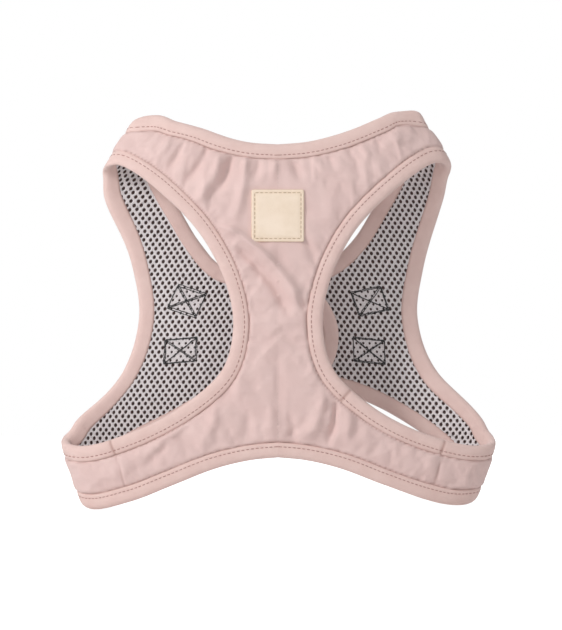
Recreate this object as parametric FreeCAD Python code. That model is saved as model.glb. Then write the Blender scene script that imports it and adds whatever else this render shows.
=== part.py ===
import FreeCAD, Part
import math
import os

# A step-in dog harness, upright and closed: chest panel in front (-Y), two
# back wings behind (+Y) that overlap at the spine. +Z points to the neck, +X
# to the wearer's right-hand panel. The origin is the middle of the torso
# opening, level with the lowest edge. Millimetres throughout.

# driving sizes
FRONT_DEPTH = 24.0        # bulge of the chest panel in front of the side folds
LEFT_DEPTH = 20.0         # bulge of the left (inner) wing behind the folds
RIGHT_DEPTH = 27.3        # bulge of the right (outer) wing behind the folds
SECTION_POWER = 2.6       # 2 is an ellipse, larger is squarer
SECTION_STEPS = 12        # facets round one half of the soft tube
OUTLINE_DEFLECTION = 0.7  # how far a faceted cloth edge may cut inside its curve
FOLD_GAP = 0.3            # clearance where wing meets chest at the side fold
LAYER_GAP = 0.1           # clearance between sewn layers
SHELL_THICK = 1.0
PADDING_THICK = 2.1
LINING_THICK = 1.2
TAPE_THICK = 0.8          # folded binding tape
BINDING_WIDTH = 9.0       # from the bound edge to the seam
BINDING_FILL = 3.0        # from the bound edge to the panels inside the tape
RUNNING_GAP = 0.3         # clearance of a moving piece in its seat

WEBBING_WIDTH = 20.0
WEBBING_PLY = 1.4
STRAP_SEWN = 12.0         # half length of the sewn end of a strap
RING_REACH = 15.0         # sewn centre to the D-ring's bar
RING_WIRE = 3.2
WIRE_SIDES = 8            # flats round the wire of a D-ring's bow
BOW_STEPS = 16            # straight steps along the bow
BAR_DIA = 3.0             # webbing bars of the buckle
BUCKLE_SIDE = 1.9         # buckle wall beside the webbing
PLUG_BASE = 5.4           # length of the plug's base beyond its webbing slot
PLUG_THICK = 5.0
PLUG_LENGTH = 30.0        # bar centre to the plug's tip
SOCKET_LENGTH = 28.0      # bar centre to the socket's mouth
SOCKET_THICK = 8.8
CAVITY_THICK = 5.0
SOCKET_WALL = 1.6         # side wall of the socket
SOCKET_ROUND = 1.5        # rounding of the socket's long edges
LATCH_START = 17.0        # bar centre to the latch shoulder of an arm
LATCH_LENGTH = 6.0        # finger pad in front of the shoulder
ARM_THICK = 3.6
TONGUE_WIDTH = 4.0
TONGUE_THICK = 2.4
TONGUE_SHORT = 5.0        # the tongue's square end stops this far behind the plug's tip
WINDOW_SPARE = 3.0        # extra length of the socket's side windows
DISH_RADIUS = 9.0         # thumb scallop in the socket's mouth
DISH_DEPTH = 6.0
PLUG_TO_SPINE = 0.5       # gap between the plug's tip and the spine line
SOCKET_PAST_SPINE = 3.0   # the socket's mouth reaches this far past the spine line

LABEL_LOW = (-15.6, 162.6)
LABEL_HIGH = (16.2, 193.7)
LABEL_THICK = 1.5
LABEL_CORNER = 2.0
CLOSURE_LOW = (13.6, 90.0)   # hook and loop patch, between the flaps
CLOSURE_HIGH = (23.6, 121.0)
CLOSURE_THICK = 1.1
CLOSURE_CORNER = 3.0

# side silhouette of the tube: height and half width
SILHOUETTE = [(-12, 113), (20, 127), (45, 132), (100, 126), (155, 117), (205, 107), (228, 95), (252, 75)]

# bound edges of the right half, (x, z); the left half is their mirror, apart from
# its tip and belly edge, where the inner flap hangs lower
NECK_FRONT = [(0, 221.7), (36.6, 227.3), (61, 236.5), (79.5, 241.5), (100, 241.5)]
LEG_FRONT = [(120, 212), (104.5, 210.5), (88, 205.5), (66, 189), (45.7, 167), (30.8, 136),
             (27.2, 110), (34, 84.5), (58, 63), (91.5, 46), (131.5, 38), (145, 38)]
BELLY_FRONT = [(0, 31), (38, 24.4), (89.4, 4.9), (118, 0.5), (140, 0.5)]
WING_NECK = [(100, 241.5), (85.5, 240.5), (79, 222), (62.5, 184), (47, 163), (33, 149.5)]
WING_LEG = [(120, 212), (107, 208), (104, 188), (89.4, 146), (85.9, 115), (96.6, 83),
            (124.8, 53.7), (132.5, 40), (145, 38)]
RIGHT_BELLY = [(35, 71), (62, 62.8), (98.8, 41.5), (112, 24), (119, 2), (140, 0.5)]
LEFT_BELLY = [(34, 65), (62, 50.5), (95, 33), (110, 17), (119, 2), (140, 0.5)]
LEFT_TIP = [(10, 143.5), (-24, 133), (-38, 108), (-30, 82), (0, 70.5)]
RIGHT_TIP = [(16, 145), (6, 138), (4, 108), (7, 79), (17, 71.5)]

# sewn centres of the straps and their slope towards the spine, degrees
STRAPS = {
    "left_ring": (-56.2, 126.2, -18.0),
    "right_ring": (57.0, 126.2, -12.0),
    "left_buckle": (-59.6, 96.0, 5.0),
    "right_buckle": (56.2, 95.9, 5.7),
}

# worked-out sizes
LINING_TOP = SHELL_THICK + LAYER_GAP + PADDING_THICK + LAYER_GAP
WALL = LINING_TOP + LINING_THICK
FAR = 400.0
PLY_PAIR = 2 * WEBBING_PLY
BACK_DEPTH = {"left": LEFT_DEPTH, "right": RIGHT_DEPTH}
SIDE_SIGN = {"left": -1, "right": 1}

os.makedirs("parts", exist_ok=True)


def save(shape, node):
    shape.removeSplitter().exportStep("parts/" + node + ".step")


# ---------- the tube that every fabric layer follows ----------

def half_section(half_width, depth, z, facing):
    """Points of one half of a tube section, from +X round to -X."""
    points = []
    power = 2.0 / SECTION_POWER
    for i in range(SECTION_STEPS + 1):
        angle = math.pi * i / SECTION_STEPS
        c, s = math.cos(angle), math.sin(angle)
        x = half_width * math.copysign(abs(c) ** power, c)
        y = depth * abs(s) ** power if 0 < i < SECTION_STEPS else 0
        points.append(FreeCAD.Vector(x, facing * y, z))
    return points


def flat_face(points):
    return Part.Face(Part.makePolygon(points + points[:1]))


def half_tube(offset, depth, facing):
    """Faceted solid inside one half of the tube, offset inwards from its outer face."""
    rows = []
    for z, half_width in SILHOUETTE:
        rows.append(half_section(half_width - offset, depth - offset, z, facing))
    faces = [flat_face(rows[0]), flat_face(rows[-1])]
    faces.append(flat_face([row[0] for row in rows] + [row[-1] for row in rows[::-1]]))
    for low, high in zip(rows, rows[1:]):
        for i in range(SECTION_STEPS):
            faces.append(flat_face([low[i], low[i + 1], high[i + 1]]))
            faces.append(flat_face([low[i], high[i + 1], high[i]]))
    return Part.makeSolid(Part.makeShell(faces))


def layer(outer, inner, depth, facing, prism):
    """Part of the wall between two inward offsets that lies in a prism."""
    return half_tube(outer, depth, facing).common(prism).cut(half_tube(inner, depth, facing))


def spline(points):
    """Smooth curve in the XZ plane through (x, z) points."""
    curve = Part.BSplineCurve()
    curve.interpolate([FreeCAD.Vector(x, 0, z) for x, z in points])
    return curve


def mirrored(points, sign):
    return [(sign * x, z) for x, z in points]


def cutter(wire, facing):
    """Prism through one side of the tube, stopping short of the side fold."""
    prism = Part.Face(wire).extrude(FreeCAD.Vector(0, facing * FAR / 4, 0))
    return prism.translated(FreeCAD.Vector(0, facing * FOLD_GAP / 2, 0))


def stations(curve):
    """Parameters of a smooth curve at the corners of the faceted line that follows it."""
    corners = curve.toShape().discretize(Deflection=OUTLINE_DEFLECTION)
    return [curve.parameter(corner) for corner in corners]


def parallel_points(points, distance, closed_side):
    """Corners beside a smooth curve, on the side of the panel; every distance shares the curve's stations."""
    curve = spline(points)
    result = []
    for value in stations(curve):
        here = curve.value(value)
        tangent = curve.tangent(value)[0]
        result.append((here.x + closed_side * distance * tangent.z, here.z - closed_side * distance * tangent.x))
    return result


def closed_wire(chains):
    """Join chains of corners with straight lines."""
    loop = []
    for chain in chains:
        loop += [FreeCAD.Vector(x, 0, z) for x, z in chain]
    return Part.makePolygon(loop + loop[:1])


def strip(points, near, far, closed_side):
    """Flat band beside an edge, as a closed wire."""
    a = parallel_points(points, near, closed_side)
    b = parallel_points(points, far, closed_side)
    return closed_wire([a, b[::-1]])


# ---------- chest ----------

def both_halves(points):
    return mirrored(points[:0:-1], -1) + points


def chest_chains(inset):
    """Outline of the chest panel, each bound edge moved in by the inset."""
    neck = parallel_points(both_halves(NECK_FRONT), inset, 1)
    belly = parallel_points(both_halves(BELLY_FRONT), inset, -1)
    right = parallel_points(LEG_FRONT, inset, 1)
    left = mirrored(right, -1)
    return [neck, right, belly[::-1], left[::-1]]


def save_panel(name, depth, facing, outline):
    """Outer cloth, foam padding and mesh lining of one panel."""
    save(layer(0, SHELL_THICK, depth, facing, outline), name + "_shell")
    foam = layer(SHELL_THICK + LAYER_GAP, LINING_TOP - LAYER_GAP, depth, facing, outline)
    save(foam, name + "_padding")
    save(layer(LINING_TOP, WALL, depth, facing, outline), name + "_lining")


def build_chest():
    outline = cutter(closed_wire(chest_chains(BINDING_FILL)), -1)
    save_panel("chest", FRONT_DEPTH, -1, outline)


def binding(points, depth, facing, closed_side, reach):
    """Folded tape round a bound edge: two lips and the fold outside the panels."""
    proud = LAYER_GAP + TAPE_THICK
    band = cutter(strip(points, 0, reach, closed_side), facing)
    room = cutter(strip(points, BINDING_FILL - LAYER_GAP, reach + 1, closed_side), facing)
    tape = layer(-proud, WALL + proud, depth, facing, band)
    return tape.cut(layer(-LAYER_GAP, WALL + LAYER_GAP, depth, facing, room))


def build_chest_bindings():
    save(binding(both_halves(NECK_FRONT), FRONT_DEPTH, -1, 1, BINDING_WIDTH), "neck_binding")
    save(binding(both_halves(BELLY_FRONT), FRONT_DEPTH, -1, -1, BINDING_WIDTH), "belly_binding")
    for side, sign in SIDE_SIGN.items():
        leg = mirrored(LEG_FRONT, sign)
        save(binding(leg, FRONT_DEPTH, -1, sign, BINDING_WIDTH), side + "_leg_binding_front")


def rounded_plate(low, high, radius):
    """Rounded rectangle in the XZ plane, as a closed wire."""
    x0, z0 = low
    x1, z1 = high
    edges = []
    corners = [(x1, z1, 0), (x0, z1, 90), (x0, z0, 180), (x1, z0, 270)]
    centres = []
    for x, z, start in corners:
        cx = x - math.copysign(radius, x - (x0 + x1) / 2)
        cz = z - math.copysign(radius, z - (z0 + z1) / 2)
        centres.append((cx, cz, start))
    ends = []
    for cx, cz, start in centres:
        arc = []
        for turn in (0, 45, 90):
            angle = math.radians(start + turn)
            arc.append(FreeCAD.Vector(cx + radius * math.cos(angle), 0, cz + radius * math.sin(angle)))
        edges.append(Part.Arc(arc[0], arc[1], arc[2]).toShape())
        ends.append((arc[0], arc[2]))
    for i in range(4):
        edges.append(Part.makeLine(ends[i][1], ends[(i + 1) % 4][0]))
    return Part.Wire(Part.__sortEdges__(edges))


def build_label():
    plate = cutter(rounded_plate(LABEL_LOW, LABEL_HIGH, LABEL_CORNER), -1)
    save(layer(-LABEL_THICK - LAYER_GAP, -LAYER_GAP, FRONT_DEPTH, -1, plate), "label_patch")


# ---------- wings ----------

def rim_points(side):
    """Neck edge, tip and belly edge of a wing as one smooth chain, in right-hand x."""
    if side == "left":
        return WING_NECK + LEFT_TIP + LEFT_BELLY
    return WING_NECK + RIGHT_TIP + RIGHT_BELLY


def wing_wire(side, inset):
    rim = parallel_points(rim_points(side), inset, -1)
    leg = parallel_points(WING_LEG, inset, 1)
    chains = [rim, leg[::-1]]
    return closed_wire([mirrored(chain, SIDE_SIGN[side]) for chain in chains])


def build_wing(side):
    depth = BACK_DEPTH[side]
    sign = SIDE_SIGN[side]
    outline = cutter(wing_wire(side, BINDING_FILL), 1)
    save_panel(side + "_wing", depth, 1, outline)
    rim = mirrored(rim_points(side), sign)
    save(binding(rim, depth, 1, -sign, BINDING_WIDTH), side + "_wing_rim_binding")
    leg = mirrored(WING_LEG, sign)
    save(binding(leg, depth, 1, sign, BINDING_WIDTH), side + "_wing_leg_binding")


def build_closure():
    """Hook patch on the inner flap's outside, loop patch on the outer flap's inside."""
    plate = cutter(rounded_plate(CLOSURE_LOW, CLOSURE_HIGH, CLOSURE_CORNER), 1)
    save(layer(-CLOSURE_THICK - LAYER_GAP, -LAYER_GAP, LEFT_DEPTH, 1, plate), "hook_tape")
    loop_top = WALL + LAYER_GAP
    save(layer(loop_top, loop_top + CLOSURE_THICK, RIGHT_DEPTH, 1, plate), "loop_tape")


# ---------- straps and hardware ----------

def strap_frame(name, reach):
    """Placement with local x towards the spine, z outwards, y across the strap."""
    x, z, slope = STRAPS[name]
    side = name.split("_")[0]
    sign = SIDE_SIGN[side]
    lean = math.radians(slope)
    along = FreeCAD.Vector(-sign * math.cos(lean), 0, math.sin(lean))
    out = FreeCAD.Vector(0, 1, 0)
    across = out.cross(along)
    centre = FreeCAD.Vector(x, BACK_DEPTH[side], z) + along * reach
    rotation = FreeCAD.Rotation(along, across, out, "ZXY")
    return FreeCAD.Placement(centre, rotation)


def placed(shape, frame):
    moved = shape.copy()
    moved.transformShape(frame.toMatrix(), True)
    return moved


def cylinder(radius, length, centre, axis):
    base = FreeCAD.Vector(centre) - FreeCAD.Vector(axis) * (length / 2)
    return Part.makeCylinder(radius, length, base, FreeCAD.Vector(axis))


def block(low, high):
    return Part.makeBox(high[0] - low[0], high[1] - low[1], high[2] - low[2], FreeCAD.Vector(low))


def eye_height(bar_dia):
    """Bar centre above the shell: eye clearance, one ply and the layer gap."""
    return eye_radius(bar_dia) + LAYER_GAP


def eye_radius(bar_dia):
    """Outside of the webbing loop round a bar."""
    return bar_dia / 2 + RUNNING_GAP + WEBBING_PLY


def build_strap(name, reach, bar_dia, node):
    """Doubled webbing sewn flat on the wing, looped round a bar at its end."""
    side = name.split("_")[0]
    sign = SIDE_SIGN[side]
    frame = strap_frame(name, 0)
    across = WEBBING_WIDTH / 2
    high = eye_height(bar_dia)
    outer = eye_radius(bar_dia)
    flat = block((-STRAP_SEWN, -across, -BACK_DEPTH[side]), (reach, across, FAR / 4))
    sewn = layer(-LAYER_GAP - PLY_PAIR, -LAYER_GAP, BACK_DEPTH[side], 1, placed(flat, frame))
    eye = cylinder(outer, WEBBING_WIDTH, (reach, 0, high), (0, 1, 0))
    hole = cylinder(outer - WEBBING_PLY, 2 * WEBBING_WIDTH, (reach, 0, high), (0, 1, 0))
    strap = sewn.fuse(placed(eye, frame)).cut(placed(hole, frame))
    save(strap, node)


def build_d_ring(name):
    """Welded D: straight bar in the webbing, half circle of the same wire."""
    side = name.split("_")[0]
    wire = RING_WIRE / 2
    radius = math.hypot(WEBBING_WIDTH / 2 + RUNNING_GAP, eye_radius(RING_WIRE) + LAYER_GAP) + wire
    corners = []
    for i in range(WIRE_SIDES + 1):
        angle = 2 * math.pi * (i + 0.5) / WIRE_SIDES
        corners.append(FreeCAD.Vector(0, radius + wire * math.cos(angle), wire * math.sin(angle)))
    sections = []
    for i in range(BOW_STEPS + 1):
        turn = FreeCAD.Rotation(FreeCAD.Vector(0, 0, 1), -180 * i / BOW_STEPS)
        sections.append(Part.makePolygon([turn.multVec(corner) for corner in corners]))
    bow = Part.makeLoft(sections, True, True)
    ring = bow.fuse(cylinder(wire, 2 * radius + wire, (0, 0, 0), (0, 1, 0)))
    frame = strap_frame(name, RING_REACH)
    lift = FreeCAD.Placement(FreeCAD.Vector(0, 0, eye_height(RING_WIRE)), FreeCAD.Rotation())
    save(placed(ring, frame.multiply(lift)), side + "_d_ring")


def slab(points, thick):
    """Plate from closed (x, y) points, centred on the local z plane."""
    loop = [FreeCAD.Vector(x, y, -thick / 2) for x, y in points]
    return Part.Face(Part.makePolygon(loop + loop[:1])).extrude(FreeCAD.Vector(0, 0, thick))


def rounded_edges(shape, radius, upright):
    """Fillet the edges that stand along local z, or all the others."""
    chosen = []
    for edge in shape.Edges:
        ends = edge.Vertexes
        if len(ends) < 2:
            continue
        run = ends[1].Point - ends[0].Point
        along_z = abs(run.z) > 0.99 * run.Length
        if along_z == upright:
            chosen.append(edge)
    return shape.makeFillet(radius, chosen)


def buckle_half_width():
    return WEBBING_WIDTH / 2 + RUNNING_GAP + 0.1 + BUCKLE_SIDE


def slot_end():
    """Local x where the body starts, clear of the webbing eye."""
    return eye_radius(BAR_DIA) + RUNNING_GAP


def webbing_bar(thick):
    """Bar and its two side rails, round about the bar so they can swing."""
    half = buckle_half_width()
    rail_length = slot_end() + 1
    frame = cylinder(BAR_DIA / 2, 2 * half, (0, 0, 0), (0, 1, 0))
    for sign in (-1, 1):
        centre = sign * (half - BUCKLE_SIDE / 2)
        end = cylinder(thick / 2, BUCKLE_SIDE, (0, centre, 0), (0, 1, 0))
        rail = block((0, centre - BUCKLE_SIDE / 2, -thick / 2), (rail_length, centre + BUCKLE_SIDE / 2, thick / 2))
        frame = frame.fuse([end, rail])
    return frame


def plug_root():
    return slot_end() + PLUG_BASE


def build_plug():
    half = buckle_half_width()
    start, root = slot_end(), plug_root()
    base = rounded_edges(block((start, -half, -PLUG_THICK / 2), (root, half, PLUG_THICK / 2)), 1.0, False)
    tongue_end = PLUG_LENGTH - TONGUE_SHORT
    w = TONGUE_WIDTH / 2
    outline = [(root - 1, -w), (tongue_end, -w), (tongue_end + w, 0), (tongue_end, w), (root - 1, w)]
    tongue = slab(outline, TONGUE_THICK)
    plug = base.fuse([webbing_bar(PLUG_THICK), tongue])
    save(placed(plug, plug_frame()), "buckle_plug")


def lifted(name, reach):
    lift = FreeCAD.Placement(FreeCAD.Vector(0, 0, eye_height(BAR_DIA)), FreeCAD.Rotation())
    return strap_frame(name, reach).multiply(lift)


def plug_reach():
    """Sewn centre to bar: the plug's tip stops just short of the spine."""
    return -STRAPS["left_buckle"][0] - PLUG_LENGTH + PLUG_TO_SPINE


def socket_reach():
    """Sewn centre to bar: the socket's mouth lies just past the spine."""
    return STRAPS["right_buckle"][0] - SOCKET_LENGTH - SOCKET_PAST_SPINE


def plug_frame():
    return lifted("left_buckle", plug_reach())


def socket_frame():
    return lifted("right_buckle", socket_reach())


def build_arm(node, sign):
    """Springy side arm: slim root, latch shoulder, finger pad and ramped nose."""
    half = buckle_half_width()
    root = plug_root() + RUNNING_GAP
    shoulder, pad_end, nose = LATCH_START, LATCH_START + LATCH_LENGTH, PLUG_LENGTH
    slim = half - SOCKET_WALL - RUNNING_GAP
    outline = [(root, slim - 2.7), (root, slim), (shoulder, slim), (shoulder + 0.4, half), (pad_end, half - 0.2),
               (nose - 3, slim - 0.7), (nose, slim - 2.7), (nose, slim - 4.5), (nose - 4, slim - 3.5),
               (pad_end - 3, slim - 2.1), (shoulder, slim - 2.3)]
    arm = slab([(x, sign * y) for x, y in outline], ARM_THICK)
    arm = rounded_edges(arm, 0.3, True)
    save(placed(arm, plug_frame()), node)


def build_socket():
    """Hollow housing: open mouth, side windows for the latches, webbing bar behind."""
    half = buckle_half_width()
    start, mouth = slot_end(), SOCKET_LENGTH
    body = block((start, -half, -SOCKET_THICK / 2), (mouth, half, SOCKET_THICK / 2))
    body = rounded_edges(body, SOCKET_ROUND, False)
    inside = half - SOCKET_WALL
    cavity_end = mouth - (PLUG_LENGTH - plug_root()) - 2 * RUNNING_GAP
    body = body.cut(block((cavity_end, -inside, -CAVITY_THICK / 2), (mouth + 5, inside, CAVITY_THICK / 2)))
    shoulder = mouth - (LATCH_START - plug_root()) + RUNNING_GAP
    window = (shoulder - LATCH_LENGTH - WINDOW_SPARE, shoulder)
    side = ARM_THICK / 2 + 2 * RUNNING_GAP
    body = body.cut(block((window[0], -2 * half, -side), (window[1], 2 * half, side)))
    for face in (-1, 1):
        dish = cylinder(DISH_RADIUS, DISH_DEPTH, (mouth + 5, 0, face * SOCKET_THICK / 2), (0, 0, 1))
        body = body.cut(dish)
    rise = LAYER_GAP + TAPE_THICK + RUNNING_GAP + SOCKET_THICK / 2 - eye_height(BAR_DIA)
    socket = body.translated(FreeCAD.Vector(0, 0, rise)).fuse(webbing_bar(PLUG_THICK))
    save(placed(socket, socket_frame()), "buckle_socket")


def build_hardware():
    for side in ("left", "right"):
        build_strap(side + "_ring", RING_REACH, RING_WIRE, side + "_ring_strap")
        build_d_ring(side + "_ring")
    build_strap("left_buckle", plug_reach(), BAR_DIA, "left_buckle_strap")
    build_strap("right_buckle", socket_reach(), BAR_DIA, "right_buckle_strap")
    build_plug()
    build_arm("plug_arm_upper", -1)
    build_arm("plug_arm_lower", 1)
    build_socket()


build_chest()
build_chest_bindings()
build_label()
build_wing("left")
build_wing("right")
build_closure()
build_hardware()
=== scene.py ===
"""Step-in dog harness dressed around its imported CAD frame.

Lengths are in millimetres until a mesh is made.
"""
import math

import bpy
import numpy as np
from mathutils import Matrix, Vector


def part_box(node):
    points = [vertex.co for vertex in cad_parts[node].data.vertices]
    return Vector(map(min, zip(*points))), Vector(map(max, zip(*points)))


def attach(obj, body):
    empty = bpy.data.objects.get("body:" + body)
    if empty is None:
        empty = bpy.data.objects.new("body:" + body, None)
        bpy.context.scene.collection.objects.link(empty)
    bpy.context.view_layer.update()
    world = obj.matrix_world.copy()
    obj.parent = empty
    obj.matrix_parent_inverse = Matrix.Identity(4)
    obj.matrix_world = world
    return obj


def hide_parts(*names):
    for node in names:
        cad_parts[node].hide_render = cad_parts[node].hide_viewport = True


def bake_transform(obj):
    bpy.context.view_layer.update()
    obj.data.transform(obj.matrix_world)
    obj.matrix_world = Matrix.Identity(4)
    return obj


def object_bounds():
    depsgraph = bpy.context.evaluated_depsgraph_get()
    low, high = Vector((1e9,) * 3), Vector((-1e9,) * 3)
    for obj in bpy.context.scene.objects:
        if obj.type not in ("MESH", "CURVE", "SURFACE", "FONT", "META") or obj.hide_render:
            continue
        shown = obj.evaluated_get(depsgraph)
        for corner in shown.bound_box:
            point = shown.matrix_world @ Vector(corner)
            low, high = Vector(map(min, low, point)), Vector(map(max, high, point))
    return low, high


MM = 0.001

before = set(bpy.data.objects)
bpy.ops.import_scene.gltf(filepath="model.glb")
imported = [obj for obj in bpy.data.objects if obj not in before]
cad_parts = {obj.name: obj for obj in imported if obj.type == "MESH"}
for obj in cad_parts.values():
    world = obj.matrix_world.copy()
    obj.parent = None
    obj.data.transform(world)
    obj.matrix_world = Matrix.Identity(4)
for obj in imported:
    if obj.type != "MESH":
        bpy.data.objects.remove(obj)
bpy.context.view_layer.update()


def node_box(node):
    low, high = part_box(node)
    return np.array(low) / MM, np.array(high) / MM


# ---------- sizes that the frame gives ----------
FRONT_DEPTH = -node_box("chest_shell")[0][1]
BACK_DEPTH = {1: node_box("right_wing_shell")[1][1], -1: node_box("left_wing_shell")[1][1]}
SIDES = {1: "right", -1: "left"}

# ---------- sizes of the soft goods ----------
SECTION_POWER = 2.6
WALL = 4.7               # outer cloth to the face of the mesh lining
EDGE_WIDTH = 9.6         # bound edge to the seam
STITCH_INSET = 7.0       # bound edge to the stitch row
STITCH_PITCH = 2.7
LABEL = (-16.0, 15.8, 161.7, 193.3)  # left, right, bottom and top of the leather patch
LABEL_ROUND = 1.0
CLOSURE = ((13.7, 23.5), (90.1, 120.9))  # hook and loop patches: across, and up
MESH_PITCH = (3.98, 2.64)  # staggered holes: along a row, and row to row
MESH_HOLE = (1.0, 1.28)  # half width and half height of a hole
CLOTH_STEP = 2.6         # grid of the simulated cloth
BINDING_STEP = 1.3

SILHOUETTE = [(-12, 113), (20, 127), (45, 132), (100, 126), (155, 117), (205, 107), (228, 95), (252, 75)]
NECK_FRONT = [(0, 221.7), (18, 223.0), (36.6, 227.3), (61, 236.2), (76, 241.3)]
RIGHT_NECK = [(84, 234), (75.6, 213.6), (60.4, 186), (46.3, 163.9), (32, 151)]
LEFT_NECK = [(84, 234), (75.4, 211.5), (61.4, 184), (48.0, 162), (34, 147.5)]
RIGHT_TIP = [(16, 145), (6, 138), (4, 108), (7, 79), (17, 71.5)]
LEFT_TIP = [(10, 143.5), (-24, 133), (-37.2, 108), (-30, 82), (0, 70.5)]
RIGHT_BELLY = [(35, 70.4), (62, 60.8), (98, 37.2), (111, 21.6), (118, 8)]
LEFT_BELLY = [(34, 65), (62, 50.5), (95, 33), (110, 17), (117.5, 6)]
BELLY_FRONT = [(113, 0.4), (89.4, 4.9), (64, 14.6), (38, 24.4), (17, 29.3), (0, 31)]
RIGHT_LEG = [(99, 209.5), (88, 205.5), (66, 189), (45.7, 167), (30.8, 136), (27.2, 110), (34, 84.5),
             (58, 61.9), (91.5, 44.9), (122, 38.4)]
LEFT_LEG = [(99, 209.5), (88, 205.5), (67, 188), (46.9, 166), (31.4, 136), (27.2, 110), (34, 84.5),
            (58, 63), (91.5, 46), (122, 38.5)]
LEG_BACK = [(129, 46), (124.8, 53.7), (96.6, 83), (85.9, 115), (89.4, 146), (102, 188), (105.5, 203)]

# sewn centre of each stitched box on the mesh: x, z, slope in degrees
BOXES = [(-56.2, 126.2, -18), (57.0, 126.2, 12), (-59.6, 96.0, 5), (56.2, 95.9, -5.7)]
BOX_SIZE = (19.2, 14.4)


def catmull(points, step, closed=False):
    """Evenly spaced points on a smooth curve through the given ones."""
    pts = np.array(points, float)
    if closed:
        pts = np.vstack([pts[-1], pts, pts[0], pts[1]])
    else:
        pts = np.vstack([2 * pts[0] - pts[1], pts, 2 * pts[-1] - pts[-2]])
    dense = []
    for i in range(1, len(pts) - 2):
        p0, p1, p2, p3 = pts[i - 1:i + 3]
        knots = [0.0]
        for a, b in ((p0, p1), (p1, p2), (p2, p3)):
            knots.append(knots[-1] + math.sqrt(np.linalg.norm(b - a)) + 1e-9)
        t = np.linspace(knots[1], knots[2], 40, endpoint=False)[:, None]
        a1 = (knots[1] - t) / (knots[1] - knots[0]) * p0 + (t - knots[0]) / (knots[1] - knots[0]) * p1
        a2 = (knots[2] - t) / (knots[2] - knots[1]) * p1 + (t - knots[1]) / (knots[2] - knots[1]) * p2
        a3 = (knots[3] - t) / (knots[3] - knots[2]) * p2 + (t - knots[2]) / (knots[3] - knots[2]) * p3
        b1 = (knots[2] - t) / (knots[2] - knots[0]) * a1 + (t - knots[0]) / (knots[2] - knots[0]) * a2
        b2 = (knots[3] - t) / (knots[3] - knots[1]) * a2 + (t - knots[1]) / (knots[3] - knots[1]) * a3
        dense.append((knots[2] - t) / (knots[2] - knots[1]) * b1
                     + (t - knots[1]) / (knots[2] - knots[1]) * b2)
    dense = np.vstack(dense + [pts[-2][None]])
    run = np.concatenate([[0], np.cumsum(np.linalg.norm(np.diff(dense, axis=0), axis=1))])
    count = max(4, int(round(run[-1] / step)))
    at = np.linspace(0, run[-1], count + 1)
    if closed:
        at = at[:-1]
    return np.stack([np.interp(at, run, dense[:, k]) for k in range(dense.shape[1])], axis=1)


# ---------- the soft tube: a flat pattern (p, z) wrapped round it ----------
# p is the distance round the section from the side fold: negative on the chest, positive on the back.

Z_LOW, Z_HIGH = SILHOUETTE[0][0], SILHOUETTE[-1][0]
_curve = catmull(SILHOUETTE, 0.5)
REACH = 260.0            # how far round the section the tables go


def half_width(z):
    return np.interp(z, _curve[:, 0], _curve[:, 1])


def section_table(depth):
    """Turn angle at each distance from the fold, for each height."""
    heights = np.arange(Z_LOW, Z_HIGH + 1, 2.0)
    distances = np.arange(0, REACH, 0.5)
    angle = np.linspace(0, math.pi, 721)
    power = 2 / SECTION_POWER
    rows = []
    for z in heights:
        w = half_width(z)
        x = w * np.sign(np.cos(angle)) * np.abs(np.cos(angle)) ** power
        y = depth * np.abs(np.sin(angle)) ** power
        run = np.concatenate([[0], np.cumsum(np.hypot(np.diff(x), np.diff(y)))])
        rows.append(np.interp(distances, run, angle))
    return heights, distances, np.array(rows)


TABLES = {"front": section_table(FRONT_DEPTH), 1: section_table(BACK_DEPTH[1]),
          -1: section_table(BACK_DEPTH[-1])}


def lookup(table, distance, z):
    heights, distances, rows = table
    i = np.clip((z - heights[0]) / (heights[1] - heights[0]), 0, len(heights) - 1.001)
    j = np.clip(distance / (distances[1] - distances[0]), 0, len(distances) - 1.001)
    i0, j0 = i.astype(int), j.astype(int)
    fi, fj = i - i0, j - j0
    low = rows[i0, j0] * (1 - fj) + rows[i0, j0 + 1] * fj
    high = rows[i0 + 1, j0] * (1 - fj) + rows[i0 + 1, j0 + 1] * fj
    return low * (1 - fi) + high * fi


def wrap(p, z, lift, side):
    """Place pattern points on the tube, lifted outwards; side is 1 for right and -1 for left."""
    p, z = np.asarray(p, float), np.asarray(z, float)
    front = p < 0
    angle = np.where(front, lookup(TABLES["front"], np.abs(p), z), lookup(TABLES[side], np.abs(p), z))
    depth = np.where(front, FRONT_DEPTH, BACK_DEPTH[side])
    w = half_width(z)
    power = 2 / SECTION_POWER
    c, s = np.cos(angle), np.sin(angle)
    ux = np.sign(c) * np.abs(c) ** power
    uy = np.abs(s) ** power
    nx = np.sign(ux) * np.abs(ux) ** (SECTION_POWER - 1) / w
    ny = uy ** (SECTION_POWER - 1) / depth
    length = np.hypot(nx, ny) + 1e-12
    facing = np.where(front, -1.0, 1.0)
    x = side * (w * ux + lift * nx / length)
    y = facing * (depth * uy + lift * ny / length)
    return drape(np.stack([x, y, z], axis=-1))


def smooth(a, b, v):
    t = np.clip((v - a) / (b - a), 0, 1)
    return t * t * (3 - 2 * t)


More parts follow.
